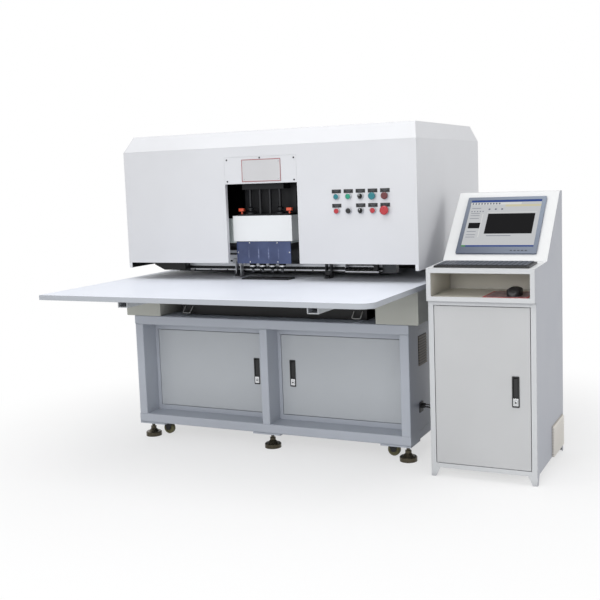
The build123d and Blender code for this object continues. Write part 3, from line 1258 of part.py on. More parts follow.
def all_nodes():
    """Every node by name, as the list of its solids."""
    left, right = SIDES
    locks = {"left": (left * LOCK_X, LOCK_LOW, JAMB_FRONT), "right": (right * LOCK_X, LOCK_LOW, JAMB_FRONT)}
    nodes = {"base_frame": base_frame(), "base_panels": base_panels(), "louvre_vents": louvre_vents(),
             "door_jambs": door_jambs(), "base_door_left": base_door(left),
             "base_door_right": base_door(right),
             "levelling_feet": levelling_feet(), "caster_forks": caster_forks(),
             "table_top": table_top(), "table_side_beams": table_side_beams(), "table_arms": table_arms(),
             "die_plate": die_plate(), "scrap_tray": scrap_tray(),
             "c_frame": c_frame(), "housing_shell": housing_shell(),
             "front_panel": front_panel() + opening_cover(), "punch_mount": punch_mount(),
             "punch_cover": punch_cover(), "guard_plate": guard_plate(),
             "punch_cylinders": punch_cylinders(),
             "air_fittings": air_fittings(),
             "y_rails": y_rails(), "cross_beam": cross_beam(), "feed_drive": feed_drive(),
             "drag_chain": drag_chain(),
             "clamp_carriage": clamp_carriage(), "clamp_jaws": clamp_jaws(),
             "button_bezels": button_bezels(),
             "start_button": push_button((0, 1)), "run_button": push_button((1, 1)),
             "mode_selector": selector((2, 1)),
             "reset_button": broad_button((3, 1), BROAD_RADIUS, BROAD_HEIGHT, BROAD_CROWN, BUTTON_TRAVEL),
             "power_lamp": lamp((4, 1)),
             "stop_button": push_button((0, 0)), "jog_button": push_button((1, 0)),
             "feed_selector": selector((2, 0)), "release_button": push_button((3, 0)),
             "emergency_stop": broad_button((4, 0), MUSHROOM_RADIUS, MUSHROOM_HEIGHT, MUSHROOM_CROWN,
                                            MUSHROOM_TRAVEL),
             "console_cabinet": console_cabinet(), "console_door": console_door(),
             "console_lock_dish": lock_dish(CONSOLE_LOCK_X, CONSOLE_LOCK_LOW, CONSOLE_FRONT),
             "console_lock_lever": lock_lever(CONSOLE_LOCK_X, CONSOLE_LOCK_LOW, CONSOLE_FRONT),
             "monitor": monitor(), "keyboard": keyboard(), "mouse_and_pad": mouse_and_pad(),
             "cable_glands": cable_glands(),
             "power_cable": cable(POWER_ROUTE, POWER_RADIUS, "power_cable"),
             "signal_cable": cable(SIGNAL_ROUTE, SIGNAL_RADIUS, "signal_cable")}
    for name, place in locks.items():
        nodes["lock_dish_" + name] = lock_dish(*place)
        nodes["lock_lever_" + name] = lock_lever(*place)
    for number, (x, y) in enumerate(caster_places()):
        nodes["caster_wheel_" + str(number + 1)] = caster_wheel(x, y)
    for number in PUNCHES:
        nodes["punch_" + str(number + 1)] = punch(number)
    return nodes


os.makedirs("parts", exist_ok=True)
to_origin = Pos(-ORIGIN_X, -ORIGIN_Y, 0)
for node, shapes in all_nodes().items():
    solids = [solid for shape in shapes for solid in (to_origin * shape).solids()]
    export_step(Compound(children=solids), "parts/" + node + ".step")
print("origin", ORIGIN_X, ORIGIN_Y)
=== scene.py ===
import math

import bmesh
import bpy
from mathutils import Matrix, Vector


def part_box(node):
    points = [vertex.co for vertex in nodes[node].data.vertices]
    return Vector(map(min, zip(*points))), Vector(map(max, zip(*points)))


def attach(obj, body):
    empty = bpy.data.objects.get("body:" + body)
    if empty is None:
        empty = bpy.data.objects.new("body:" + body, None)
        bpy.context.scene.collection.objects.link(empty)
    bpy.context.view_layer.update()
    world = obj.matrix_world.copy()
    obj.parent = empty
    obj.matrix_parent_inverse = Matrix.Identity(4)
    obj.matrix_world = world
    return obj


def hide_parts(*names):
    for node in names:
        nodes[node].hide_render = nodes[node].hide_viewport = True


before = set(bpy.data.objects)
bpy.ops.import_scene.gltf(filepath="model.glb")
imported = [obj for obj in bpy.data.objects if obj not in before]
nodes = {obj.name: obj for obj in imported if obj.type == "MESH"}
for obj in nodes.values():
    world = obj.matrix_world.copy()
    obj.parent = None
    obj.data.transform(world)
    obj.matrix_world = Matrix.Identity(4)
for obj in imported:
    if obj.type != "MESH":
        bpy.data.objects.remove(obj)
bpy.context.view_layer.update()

# Sizes and places are in millimetres from the machine's middle, the base's front face and the floor
MM = 0.001
ORIGIN = Vector((284.5, 236.5, 0))
MACHINE = "machine"
HEAD_FRONT, HEAD_X = 44.0, -27.0
HOUSING_INNER, HOUSING_REAR, HOUSING_ROOF, PANEL_REAR = 863.7, 1163.7, 1626.8, 46.6
GUARD_FRONT, MOUNT_FRONT, BRACKET_FRONT, FEED_FRONT = 100.0, 205.0, 130.0, 255.0
MOUNT_LOW = 1110.5
PUNCH_PITCH, PUNCH_TIP, PUNCH_HIGHLIGHT_BAND = 60.0, 967.0, (983.0, 989.0)
GLINT_FOOT, GLINT_HEAD = (1018.0, 1045.0), (1100.0, 1060.0)
BEAM_LOW, GROOVE_STEP, GROOVE_SHARES = 941.0, 39.67, (0.37, 0.63)
BEAM_SHADE_LINE, BEAM_SHADE_FOOT, SHOE_X = 972.0, 948.5, 592.0
BUTTON_X, BUTTON_STEP, BUTTON_LOW, BUTTON_ROW = 435.0, 65.5, 1279.5, 72.5
GRILLE_LOW, VENT_LOW, SLAT_PITCH, SLAT_EDGES = 478.0, 45.0, 14.0, (0.95, 0.45)
PULL_DEPTH = 37.0
PAD_THICK, PAD_BORDER, PAD_MOTTLE = 1.6, 9.0, 30.0
CONSOLE_MIDDLE, CONSOLE_SPLIT = 1217.5, 1084.5
DECK_LOW, FASCIA_LOW, FASCIA_HIGH = (-147.5, 1011.0), (125.0, 1020.0), (452.0, 1344.0)
KEY_TOP = 13.0
SHELF_HALF, SHELF_LOW, SHELF_HIGH = 252.5, (-146.0, 866.0), (430.0, 1003.0)


def at(x, y, z):
    """Point in the row frame, in metres."""
    return (Vector((x, y, z)) - ORIGIN) * MM


# Camera, from the fit to the photograph

CAMERA_AT = (2385.97, -4432.82, 1465.03)
YAW, PITCH, ROLL = (math.radians(angle) for angle in (25.9156, 6.5168, 2.0917))
LENS = 57.43
SHIFT_Y = -0.025


def make_camera():
    forward = Vector((-math.sin(YAW) * math.cos(PITCH), math.cos(YAW) * math.cos(PITCH), -math.sin(PITCH)))
    right = Vector((math.cos(YAW), math.sin(YAW), 0))
    down = forward.cross(right)
    across = right * math.cos(ROLL) + down * math.sin(ROLL)
    up = right * math.sin(ROLL) - down * math.cos(ROLL)
    data = bpy.data.cameras.new("camera")
    data.lens = LENS
    data.shift_y = SHIFT_Y
    camera = bpy.data.objects.new("camera", data)
    bpy.context.scene.collection.objects.link(camera)
    turn = Matrix((across, up, -forward)).transposed().to_4x4()
    camera.matrix_world = Matrix.Translation(at(*CAMERA_AT)) @ turn
    bpy.context.scene.camera = camera


make_camera()


# Materials

NOISE_LOW, NOISE_HIGH = 0.3, 0.7
MIX_INPUTS, MIX_RESULT = (0, 6, 7), 2


class Tree:
    """Small helper round a material's node tree."""

    def __init__(self, name):
        self.material = bpy.data.materials.new(name)
        self.material.use_nodes = True
        self.tree = self.material.node_tree
        self.shader = self.tree.nodes["Principled BSDF"]
        self.place = self.node("ShaderNodeTexCoord").outputs["Object"]

    def node(self, kind, **values):
        made = self.tree.nodes.new(kind)
        for key, value in values.items():
            setattr(made, key, value)
        return made

    def link(self, source, target):
        self.tree.links.new(source, target)

    def noise(self, scale, detail=2.0, stretch=None):
        made = self.node("ShaderNodeTexNoise")
        made.inputs["Scale"].default_value = scale
        made.inputs["Detail"].default_value = detail
        if stretch:
            mapping = self.node("ShaderNodeMapping")
            mapping.inputs["Scale"].default_value = stretch
            self.link(self.place, mapping.inputs["Vector"])
            self.link(mapping.outputs["Vector"], made.inputs["Vector"])
        else:
            self.link(self.place, made.inputs["Vector"])
        return made.outputs["Fac"]

    def ramp(self, value, low, high):
        """Noise spread out from a low to a high value."""
        made = self.node("ShaderNodeMapRange")
        made.inputs["From Min"].default_value = NOISE_LOW
        made.inputs["From Max"].default_value = NOISE_HIGH
        made.inputs["To Min"].default_value = low
        made.inputs["To Max"].default_value = high
        self.link(value, made.inputs["Value"])
        return made.outputs["Result"]

    def math(self, operation, first, second=0.0):
        made = self.node("ShaderNodeMath", operation=operation)
        for socket, value in zip(made.inputs, (first, second)):
            self.give(socket, value)
        return made.outputs["Value"]

    def mix(self, factor, first, second, blend="MIX"):
        made = self.node("ShaderNodeMix", data_type="RGBA", blend_type=blend)
        for number, value in zip(MIX_INPUTS, (factor, first, second)):
            self.give(made.inputs[number], value)
        return made.outputs[MIX_RESULT]

    def give(self, socket, value):
        """Set a socket to a number or colour, or link it to another socket."""
        if isinstance(value, (int, float, tuple)):
            socket.default_value = value
        else:
            self.link(value, socket)

    def step(self, value, low, high):
        """Smooth step from 0 to 1 between two values; a high below the low turns it round."""
        made = self.node("ShaderNodeMapRange", interpolation_type="SMOOTHSTEP")
        made.inputs["From Min"].default_value = low
        made.inputs["From Max"].default_value = high
        self.link(value, made.inputs["Value"])
        return made.outputs["Result"]

    def axis(self, letter, source=None):
        made = self.node("ShaderNodeSeparateXYZ")
        self.link(source or self.place, made.inputs["Vector"])
        return made.outputs[letter]

    def away(self, value, middle):
        """Distance of a value from a middle."""
        return self.math("ABSOLUTE", self.math("SUBTRACT", value, middle))

    def between(self, value, low, high):
        """1 between two values, 0 outside them."""
        above, beyond = (self.math("GREATER_THAN", value, edge) for edge in (low, high))
        return self.math("SUBTRACT", above, beyond)

    def within(self, low, high):
        """1 inside a box between two corners in millimetres, 0 outside it."""
        made = 1.0
        for letter, first, last in zip("XYZ", at(*low), at(*high)):
            made = self.math("MULTIPLY", self.between(self.axis(letter), first, last), made)
        return made

    def normal(self):
        return self.node("ShaderNodeNewGeometry").outputs["Normal"]

    # Painted shade: ambient occlusion that darkens corners, seams and recesses
    def corner_shade(self, distance):
        made = self.node("ShaderNodeAmbientOcclusion", samples=EDGE_SAMPLES)
        made.inputs["Distance"].default_value = distance
        return made.outputs["AO"]


def srgb(*values):
    """Colour given as screen values from 0 to 255, as the shader's linear value."""
    shares = [value / 255 for value in values]
    return (*(((c + 0.055) / 1.055) ** 2.4 if c > 0.04045 else c / 12.92 for c in shares), 1.0)


def grey(level):
    return (level, level, level, 1.0)


TONE_SCALE, TONE_DETAIL, TONE_ROUGH = 2.6, 3.0, 0.05
FINE_ROUGH = 0.04
CORNER_SHADE_BLUE = 0.9
EDGE_SAMPLES = 4


def surface(name, colour, rough, metallic=0.0, tone=0.05, peel=420.0, peel_height=0.04, corner_shade=0.03,
            corner_shade_depth=0.35, edge=0.0012, coat=0.0, specular=0.5, stretch=None):
    """Paint, metal or plastic with tone, orange peel or brushing, worn shine, and painted shade in its corners.

    The colour is one value, or a function that makes it in the material's tree.
    """
    t = Tree(name)
    broad = t.noise(TONE_SCALE, TONE_DETAIL)
    base = colour(t) if callable(colour) else colour
    light = t.mix(t.ramp(broad, 0.0, 1.0), grey(1 - tone), grey(1.0))
    toned = t.mix(1.0, base, light, "MULTIPLY")
    # Painted shade in corners and seams, from ambient occlusion, with a faint bluish tint
    corner_shade_tint = (1 - corner_shade_depth, 1 - corner_shade_depth, 1 - corner_shade_depth * CORNER_SHADE_BLUE, 1.0)
    shade = t.mix(t.corner_shade(corner_shade), corner_shade_tint, grey(1.0))
    t.link(t.mix(1.0, toned, shade, "MULTIPLY"), t.shader.inputs["Base Color"])
    fine = t.noise(peel, stretch=stretch)
    worn = t.ramp(broad, -TONE_ROUGH, TONE_ROUGH)
    grain = t.ramp(fine, rough - FINE_ROUGH, rough + FINE_ROUGH)
    t.link(t.math("ADD", worn, grain), t.shader.inputs["Roughness"])
    t.shader.inputs["Metallic"].default_value = metallic
    t.shader.inputs["Coat Weight"].default_value = coat
    t.shader.inputs["Specular IOR Level"].default_value = specular
    bump = t.node("ShaderNodeBump")
    bump.inputs["Strength"].default_value = peel_height
    bump.inputs["Distance"].default_value = MM
    t.link(fine, bump.inputs["Height"])
    bevel = t.node("ShaderNodeBevel", samples=EDGE_SAMPLES)
    bevel.inputs["Radius"].default_value = edge
    t.link(bevel.outputs["Normal"], bump.inputs["Normal"])
    t.link(bump.outputs["Normal"], t.shader.inputs["Normal"])
    return t.material


# Which way a face points, for painted light and shade: undersides, console sides and lying faces, and the
# table's top
UNDERSIDE, UPRIGHT_SIDE, LYING, TABLE_LYING = -0.1, 0.6, 0.3, 0.5


def housing_colours(t):
    """Painted outside; painted shade inside the head, under its roof and on every face that points down."""
    inside = t.within((-HOUSING_INNER, PANEL_REAR, 0), (HOUSING_INNER, HOUSING_REAR, HOUSING_ROOF))
    under = t.math("LESS_THAN", t.axis("Z", t.normal()), UNDERSIDE)
    return t.mix(t.math("MAXIMUM", inside, under), srgb(222, 223, 226), srgb(30, 31, 33))


def table_colours(t):
    """Pale gloss top; every face that does not point up is greyer, painted shade on its edge."""
    top = t.math("GREATER_THAN", t.axis("Z", t.normal()), TABLE_LYING)
    return t.mix(top, srgb(174, 178, 184), srgb(235, 239, 248))


def slat_shade(t, low):
    """Share of light on a stack of slats: dark where each one runs back under the next."""
    turn = t.math("DIVIDE", t.math("SUBTRACT", t.axis("Z"), low * MM), SLAT_PITCH * MM)
    return t.step(t.math("FRACT", turn), *SLAT_EDGES)


def vent_colours(t):
    """Brownish grille on the base, pale one on the console, both with painted shade in the gaps between the
    slats.
    """
    console = t.math("GREATER_THAN", t.axis("X"), at(CONSOLE_SPLIT, 0, 0).x)
    grille = t.mix(slat_shade(t, GRILLE_LOW), srgb(46, 40, 34), srgb(132, 122, 108))
    vent = t.mix(slat_shade(t, VENT_LOW), srgb(150, 144, 134), srgb(226, 222, 214))
    return t.mix(console, grille, vent)


def console_colours(t):
    """White fascia and deck, greyer front frame and sides, warm white inside the shelf; the whiter lying faces
    and greyer sides are painted light and shade.
    """
    # Painted light and shade: lying faces lighter, upright sides darker than the front frame
    side = t.math("GREATER_THAN", t.math("ABSOLUTE", t.axis("X", t.normal())), UPRIGHT_SIDE)
    lying = t.math("GREATER_THAN", t.axis("Z", t.normal()), LYING)
    front = t.mix(lying, srgb(203, 205, 207), srgb(229, 230, 230))
    inside = t.within((CONSOLE_MIDDLE - SHELF_HALF, *SHELF_LOW), (CONSOLE_MIDDLE + SHELF_HALF, *SHELF_HIGH))
    return t.mix(inside, t.mix(side, front, srgb(166, 169, 177)), srgb(214, 211, 201))


def mount_colours(t):
    """Grey-green paint above; below the cover, deep inside the head, painted shade on the guide block."""
    above = t.math("GREATER_THAN", t.axis("Z"), MOUNT_LOW * MM)
    return t.mix(above, srgb(32, 33, 35), srgb(210, 219, 217))


def beam_colours(t):
    """Alloy profile with painted shade in its grooves, in a band over the lowest groove and along its foot, and
    darker end shoes.
    """
    height = t.axis("Z")
    turn = t.math("DIVIDE", t.math("SUBTRACT", height, BEAM_LOW * MM), GROOVE_STEP * MM)
    # Painted shade: the grooves, a band over the lowest groove and the foot are dark
    groove = t.between(t.math("FRACT", turn), *GROOVE_SHARES)
    line = t.between(height, (BEAM_LOW + GROOVE_STEP / 2) * MM, BEAM_SHADE_LINE * MM)
    foot = t.math("LESS_THAN", height, BEAM_SHADE_FOOT * MM)
    dark = t.math("MAXIMUM", t.math("MAXIMUM", groove, foot), line)
    profile = t.mix(dark, srgb(212, 214, 217), srgb(34, 35, 37))
    shoe = t.math("GREATER_THAN", t.away(t.axis("X"), at(0, 0, 0).x), SHOE_X * MM)
    return t.mix(shoe, profile, srgb(72, 74, 77))


def carriage_colours(t):
    """Bright left clamp yoke, blackened right one."""
    low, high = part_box("clamp_carriage")
    right = t.math("GREATER_THAN", t.axis("X"), (low.x + high.x) / 2)
    return t.mix(right, srgb(170, 172, 175), srgb(46, 47, 50))


def key_colours(t):
    """Grey key tops over a darker tray; the tops are a height above the sloping deck."""
    rise = Vector((FASCIA_LOW[0] - DECK_LOW[0], FASCIA_LOW[1] - DECK_LOW[1])).normalized()
    low = at(0, *DECK_LOW)
    back = t.math("MULTIPLY", t.math("SUBTRACT", t.axis("Y"), low.y), -rise.y)
    up = t.math("MULTIPLY", t.math("SUBTRACT", t.axis("Z"), low.z), rise.x)
    top = t.math("GREATER_THAN", t.math("ADD", back, up), KEY_TOP * MM)
    return t.mix(top, srgb(12, 13, 16), srgb(72, 78, 90))


def bezel_colours(t):
    """Blue-grey screen frame with a painted highlight that lightens it towards its upper right."""
    low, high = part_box("monitor")
    up = t.step(t.axis("Z"), low.z, high.z)
    right = t.step(t.axis("X"), low.x, high.x)
    both = t.math("MULTIPLY", t.math("ADD", up, right), 0.5)
    return t.mix(both, srgb(74, 84, 102), srgb(126, 137, 154))


def tray_colours(t):
    """Dark sheet with bright wire pulls at its front."""
    pull = t.math("LESS_THAN", t.axis("Y"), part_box("scrap_tray")[0].y + PULL_DEPTH * MM)
    return t.mix(pull, srgb(26, 26, 27), srgb(200, 200, 196))


def punch_colours(t):
    """Grey tip and a bright ring, a painted highlight, on a blackened holder."""
    tip = t.math("LESS_THAN", t.axis("Z"), PUNCH_TIP * MM)
    # Painted highlight: a bright band near the holder's top
    ring = t.between(t.axis("Z"), *(edge * MM for edge in PUNCH_HIGHLIGHT_BAND))
    return t.mix(ring, t.mix(tip, srgb(24, 25, 27), srgb(84, 86, 89)), srgb(214, 216, 218))


def mouse_colours(t):
    """Dark mouse on a mottled cloth pad with a red border."""
    low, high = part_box("mouse_and_pad")
    middle, half = (low + high) / 2, (high - low) / 2
    pad = t.math("LESS_THAN", t.axis("Z"), low.z + PAD_THICK * MM)
    sides = t.math("GREATER_THAN", t.away(t.axis("X"), middle.x), half.x - PAD_BORDER * MM)
    ends = t.math("GREATER_THAN", t.away(t.axis("Y"), middle.y), half.y - PAD_BORDER * MM)
    mottle = t.mix(t.ramp(t.noise(PAD_MOTTLE), 0.0, 1.0), srgb(126, 92, 100), srgb(170, 146, 150))
    cloth = t.mix(t.math("MAXIMUM", sides, ends), mottle, srgb(186, 36, 44))
    return t.mix(pad, srgb(34, 34, 37), cloth)


# The middle of the rods and the edges of their glint are counted in punch pitches
ROD_MIDDLE = 1.5
GLINT_EDGES, GLINT_ENDS, GLINT_FADE = (0.09, 0.02), (1.9, 1.8), (2.2, 0.6)
GLINT_SCALE, GLINT_LEAST = 90.0, 0.2
ACRYLIC_SCALE, ACRYLIC_DETAIL = 9.0, 3.0
ACRYLIC_ROUGH_SCALE, ACRYLIC_ROUGH = 60.0, (0.08, 0.16)
ACRYLIC_CLEAR, ACRYLIC_IOR = 0.2, 1.49


def acrylic(name):
    """Blue see-through guard sheet, with a painted glint of the four rods behind it."""
    t = Tree(name)
    cloud = t.ramp(t.noise(ACRYLIC_SCALE, ACRYLIC_DETAIL), 0.0, 1.0)
    sheet = t.mix(cloud, srgb(56, 68, 106), srgb(76, 90, 132))
    first = at(HEAD_X - ROD_MIDDLE * PUNCH_PITCH, 0, 0).x
    turn = t.math("DIVIDE", t.math("SUBTRACT", t.axis("X"), first), PUNCH_PITCH * MM)
    from_rod = t.away(t.math("FRACT", t.math("ADD", turn, 0.5)), 0.5)
    from_middle = t.away(turn, ROD_MIDDLE)
    foot, head = (t.step(t.axis("Z"), low * MM, high * MM) for low, high in (GLINT_FOOT, GLINT_HEAD))
    # Painted highlight: glint streaks of the rods, painted into the sheet's colour
    glint = t.ramp(t.noise(GLINT_SCALE), GLINT_LEAST, 1.0)
    for share in (t.step(from_rod, *GLINT_EDGES), t.step(from_middle, *GLINT_ENDS),
                  t.step(from_middle, *GLINT_FADE), foot, head):
        glint = t.math("MULTIPLY", glint, share)
    t.link(t.mix(glint, sheet, srgb(146, 157, 194)), t.shader.inputs["Base Color"])
    t.link(t.ramp(t.noise(ACRYLIC_ROUGH_SCALE), *ACRYLIC_ROUGH), t.shader.inputs["Roughness"])
    t.shader.inputs["Transmission Weight"].default_value = ACRYLIC_CLEAR
    t.shader.inputs["IOR"].default_value = ACRYLIC_IOR
    return t.material


DOT_SCALE, DOT_LEAST = 900.0, 0.94
GLASS_SHARE, GLASS_ROUGH, GLASS_SPECULAR = 0.06, 0.4, 0.04


def glow(name, colour):
    """Lit screen area with a faint grain of dots."""
    t = Tree(name)
    shade = t.node("ShaderNodeCombineColor")
    dots = t.ramp(t.noise(DOT_SCALE), DOT_LEAST, 1.0)
    for socket in shade.inputs:
        t.link(dots, socket)
    lit = t.mix(1.0, colour, shade.outputs["Color"], "MULTIPLY")
    t.link(t.mix(1.0, lit, grey(GLASS_SHARE), "MULTIPLY"), t.shader.inputs["Base Color"])
    t.link(lit, t.shader.inputs["Emission Color"])
    t.shader.inputs["Emission Strength"].default_value = 1.0
    t.shader.inputs["Roughness"].default_value = GLASS_ROUGH
    t.shader.inputs["Specular IOR Level"].default_value = GLASS_SPECULAR
    return t.material


STEEL = srgb(190, 192, 196)

MATERIALS = {
    "head": surface("head_paint", srgb(212, 213, 216), 0.42, edge=0.0025),
    "housing": surface("housing_paint", housing_colours, 0.42, edge=0.0025, specular=0.35),
    "frame": surface("frame_paint", srgb(178, 183, 192), 0.4, corner_shade_depth=0.1),
    "door": surface("door_paint", srgb(184, 188, 192), 0.38, corner_shade_depth=0.25),
    "table": surface("table_finish", table_colours, 0.45, tone=0.03, edge=0.002, specular=0.2),
    "beam": surface("beam_paint", srgb(182, 183, 175), 0.45, corner_shade=0.06),
    "arm": surface("arm_paint", srgb(205, 208, 210), 0.45, corner_shade=0.06),
    "inner": surface("inner_frame_paint", srgb(38, 39, 42), 0.5),
    "console": surface("console_paint", console_colours, 0.4, edge=0.002, specular=0.35),
    "console_door": surface("console_door_paint", srgb(192, 193, 194), 0.4),
    "vent": surface("vent_paint", vent_colours, 0.5, corner_shade=0.015),
    "tray": surface("tray_sheet", tray_colours, 0.42, metallic=0.3),
    "casting": surface("foot_casting", srgb(88, 82, 68), 0.28, metallic=0.8, tone=0.3, peel=240.0,
                       peel_height=0.2),
    "fork": surface("fork_steel", srgb(40, 40, 42), 0.4, metallic=0.5),
    "wheel": surface("wheel_nylon", srgb(96, 92, 58), 0.45, tone=0.2),
    "steel": surface("ground_steel", STEEL, 0.28, metallic=0.9, stretch=(1.0, 1.0, 30.0), peel=60.0),
    "punch": surface("punch_steel", punch_colours, 0.3, metallic=0.7),
    "dark_steel": surface("die_steel", srgb(44, 45, 48), 0.35, metallic=0.6, stretch=(30.0, 1.0, 1.0),
                          peel=60.0),
    "alloy": surface("alloy_profile", beam_colours, 0.36, metallic=0.6, stretch=(1.0, 40.0, 40.0), peel=30.0),
    "carriage": surface("carriage_steel", carriage_colours, 0.32, metallic=0.6),
    "rim": surface("button_rim", srgb(188, 190, 194), 0.35, metallic=0.5, tone=0.1),
    "mark": surface("selector_mark", srgb(226, 227, 228), 0.45, tone=0.05),
    "mount": surface("mount_paint", mount_colours, 0.42),
    "punch_cover": surface("cover_paint", srgb(228, 230, 231), 0.36),
    "black": surface("black_moulding", srgb(17, 18, 20), 0.45, tone=0.2, peel=700.0, peel_height=0.08),
    "lever": surface("lever_moulding", srgb(22, 23, 25), 0.4, tone=0.2, peel=700.0),
    "anodised": surface("black_anodised", srgb(30, 31, 34), 0.38, metallic=0.5, tone=0.2),
    "chrome": surface("bright_ring", srgb(214, 216, 218), 0.14, metallic=1.0, tone=0.1),
    "orange": surface("orange_moulding", srgb(242, 100, 68), 0.25, tone=0.12, coat=0.4),
    "teal": surface("teal_cap", srgb(10, 118, 128), 0.25, coat=0.4, tone=0.15),
    "green": surface("green_cap", srgb(18, 148, 116), 0.25, coat=0.4, tone=0.15),
    "red": surface("red_cap", srgb(178, 38, 48), 0.25, coat=0.4, tone=0.12),
    "lamp": surface("lamp_lens", srgb(104, 36, 40), 0.15, coat=0.6, tone=0.2),
    "bezel": surface("screen_frame", bezel_colours, 0.35, tone=0.1),
    "keys": surface("key_plastic", key_colours, 0.4, tone=0.15, peel=900.0, peel_height=0.1),
    "mouse": surface("mouse_plastic", mouse_colours, 0.45, tone=0.1, peel=900.0, peel_height=0.1),
    "rubber": surface("cable_sheath", srgb(30, 30, 32), 0.55, tone=0.2, peel=900.0, peel_height=0.1),
    "label": surface("label_plate", srgb(9, 10, 13), 0.5, tone=0.1),
    "label_line": surface("label_line", srgb(92, 94, 100), 0.5, tone=0.1),
    "plate": surface("name_plate", srgb(198, 198, 200), 0.4, metallic=0.5, stretch=(2.0, 1.0, 60.0), peel=30.0),
    "plate_red": surface("plate_border", srgb(158, 62, 64), 0.35, coat=0.2),
    "guard": acrylic("guard_acrylic"),
    "window": glow("screen_window", srgb(188, 190, 192)),
    "title": glow("screen_title", srgb(50, 72, 132)),
    "tool": glow("screen_tool", srgb(196, 190, 162)),
    "icon": glow("screen_icon", srgb(96, 100, 116)),
    "canvas": glow("screen_canvas", srgb(17, 17, 19)),
    "field": glow("screen_field", srgb(206, 207, 206)),
    "start": glow("screen_start", srgb(74, 132, 86)),
}

LOOK = {
    "head": ["front_panel"],
    "housing": ["housing_shell"],
    "frame": ["base_frame", "base_panels", "door_jambs"],
    "door": ["base_door_left", "base_door_right"],
    "table": ["table_top"],
    "beam": ["table_side_beams"],
    "arm": ["table_arms"],
    "inner": ["c_frame"],
    "console": ["console_cabinet"],
    "console_door": ["console_door"],
    "vent": ["louvre_vents"],
    "tray": ["scrap_tray"],
    "casting": ["levelling_feet"],
    "fork": ["caster_forks"],
    "wheel": ["caster_wheel_1", "caster_wheel_2", "caster_wheel_3", "caster_wheel_4"],
    "punch": ["punch_1", "punch_2", "punch_3", "punch_4"],
    "steel": ["y_rails"],
    "carriage": ["clamp_carriage"],
    "rim": ["button_bezels"],
    "dark_steel": ["die_plate", "clamp_jaws"],
    "alloy": ["cross_beam"],
    "mount": ["punch_mount"],
    "punch_cover": ["punch_cover"],
    "guard": ["guard_plate"],
    "anodised": ["punch_cylinders"],
    "orange": ["air_fittings"],
    "black": ["drag_chain", "feed_drive", "lock_dish_left", "lock_dish_right", "console_lock_dish",
              "mode_selector", "feed_selector", "jog_button", "cable_glands"],
    "lever": ["lock_lever_left", "lock_lever_right", "console_lock_lever"],
    "teal": ["start_button", "reset_button"],
    "green": ["run_button"],
    "red": ["stop_button", "release_button", "emergency_stop"],
    "lamp": ["power_lamp"],
    "bezel": ["monitor"],
    "keys": ["keyboard"],
    "mouse": ["mouse_and_pad"],
    "rubber": ["power_cable", "signal_cable"],
}
for look, names in LOOK.items():
    for name in names:
        nodes[name].data.materials.clear()
        nodes[name].data.materials.append(MATERIALS[look])


# Cables: the route's points in millimetres, the radius in millimetres and the length in metres

POWER_ROUTE = [(836, 172, 262), (856, 172, 262), (873, 175, 254), (885.5, 178, 239.5), (911, 188, 145),
               (924, 192, 129.5), (942, 197, 121), (960, 199, 121)]
SIGNAL_ROUTE = [(836, 190, 270), (860, 191, 268), (883, 194, 259), (903, 198, 245), (921, 202, 229),
                (939, 206, 215), (960, 209, 206)]
POWER_RADIUS, POWER_LENGTH = 4.5, 0.212
SIGNAL_RADIUS, SIGNAL_LENGTH = 3.0, 0.143


def cable(name, route, radius):
    data = bpy.data.curves.new(name + "_run", "CURVE")
    data.dimensions = "3D"
    data.bevel_depth = radius * MM
    data.bevel_resolution = 4
    data.resolution_u = 8
    data.use_fill_caps = True
    spline = data.splines.new("NURBS")
    spline.points.add(len(route) - 1)
    for point, place in zip(spline.points, route):
        point.co = (*at(*place), 1.0)
    spline.order_u = 3
    spline.use_endpoint_u = True
    curve = bpy.data.objects.new(name + "_run", data)
    bpy.context.scene.collection.objects.link(curve)
    data.materials.append(MATERIALS["rubber"])
    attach(curve, MACHINE)
    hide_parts(name)


cable("power_cable", POWER_ROUTE, POWER_RADIUS)
cable("signal_cable", SIGNAL_ROUTE, SIGNAL_RADIUS)


# Mesh pieces

def add_piece(name, mesh_data, look, body=MACHINE):
    mesh = bpy.data.meshes.new(name)
    mesh_data.normal_update()
    mesh_data.to_mesh(mesh)
    mesh_data.free()
    piece = bpy.data.objects.new(name, mesh)
    bpy.context.scene.collection.objects.link(piece)
    mesh.materials.append(MATERIALS[look])
    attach(piece, body)


def merge(mesh, part):
    data = bpy.data.meshes.new("part")
    part.to_mesh(data)
    part.free()
    mesh.from_mesh(data)
    bpy.data.meshes.remove(data)


def box_into(mesh, low, high, round_edge, place=None):
    """Add a box with rounded edges to a mesh, between two corners in millimetres."""
    size = [b - a for a, b in zip(low, high)]
    middle = [(a + b) / 2 for a, b in zip(low, high)]
    part = bmesh.new()
    bmesh.ops.create_cube(part, size=1.0)
    bmesh.ops.scale(part, vec=Vector(size) * MM, verts=part.verts)
    if round_edge:
        bmesh.ops.bevel(part, geom=part.edges[:], offset=round_edge * MM, segments=2, affect="EDGES",
                        profile=0.5)
    if place is None:
        bmesh.ops.translate(part, vec=at(*middle), verts=part.verts)
    else:
        bmesh.ops.transform(part, matrix=place @ Matrix.Translation(Vector(middle) * MM), verts=part.verts)
    merge(mesh, part)


FACE_FRONT = Matrix.Rotation(math.radians(90), 4, "X")


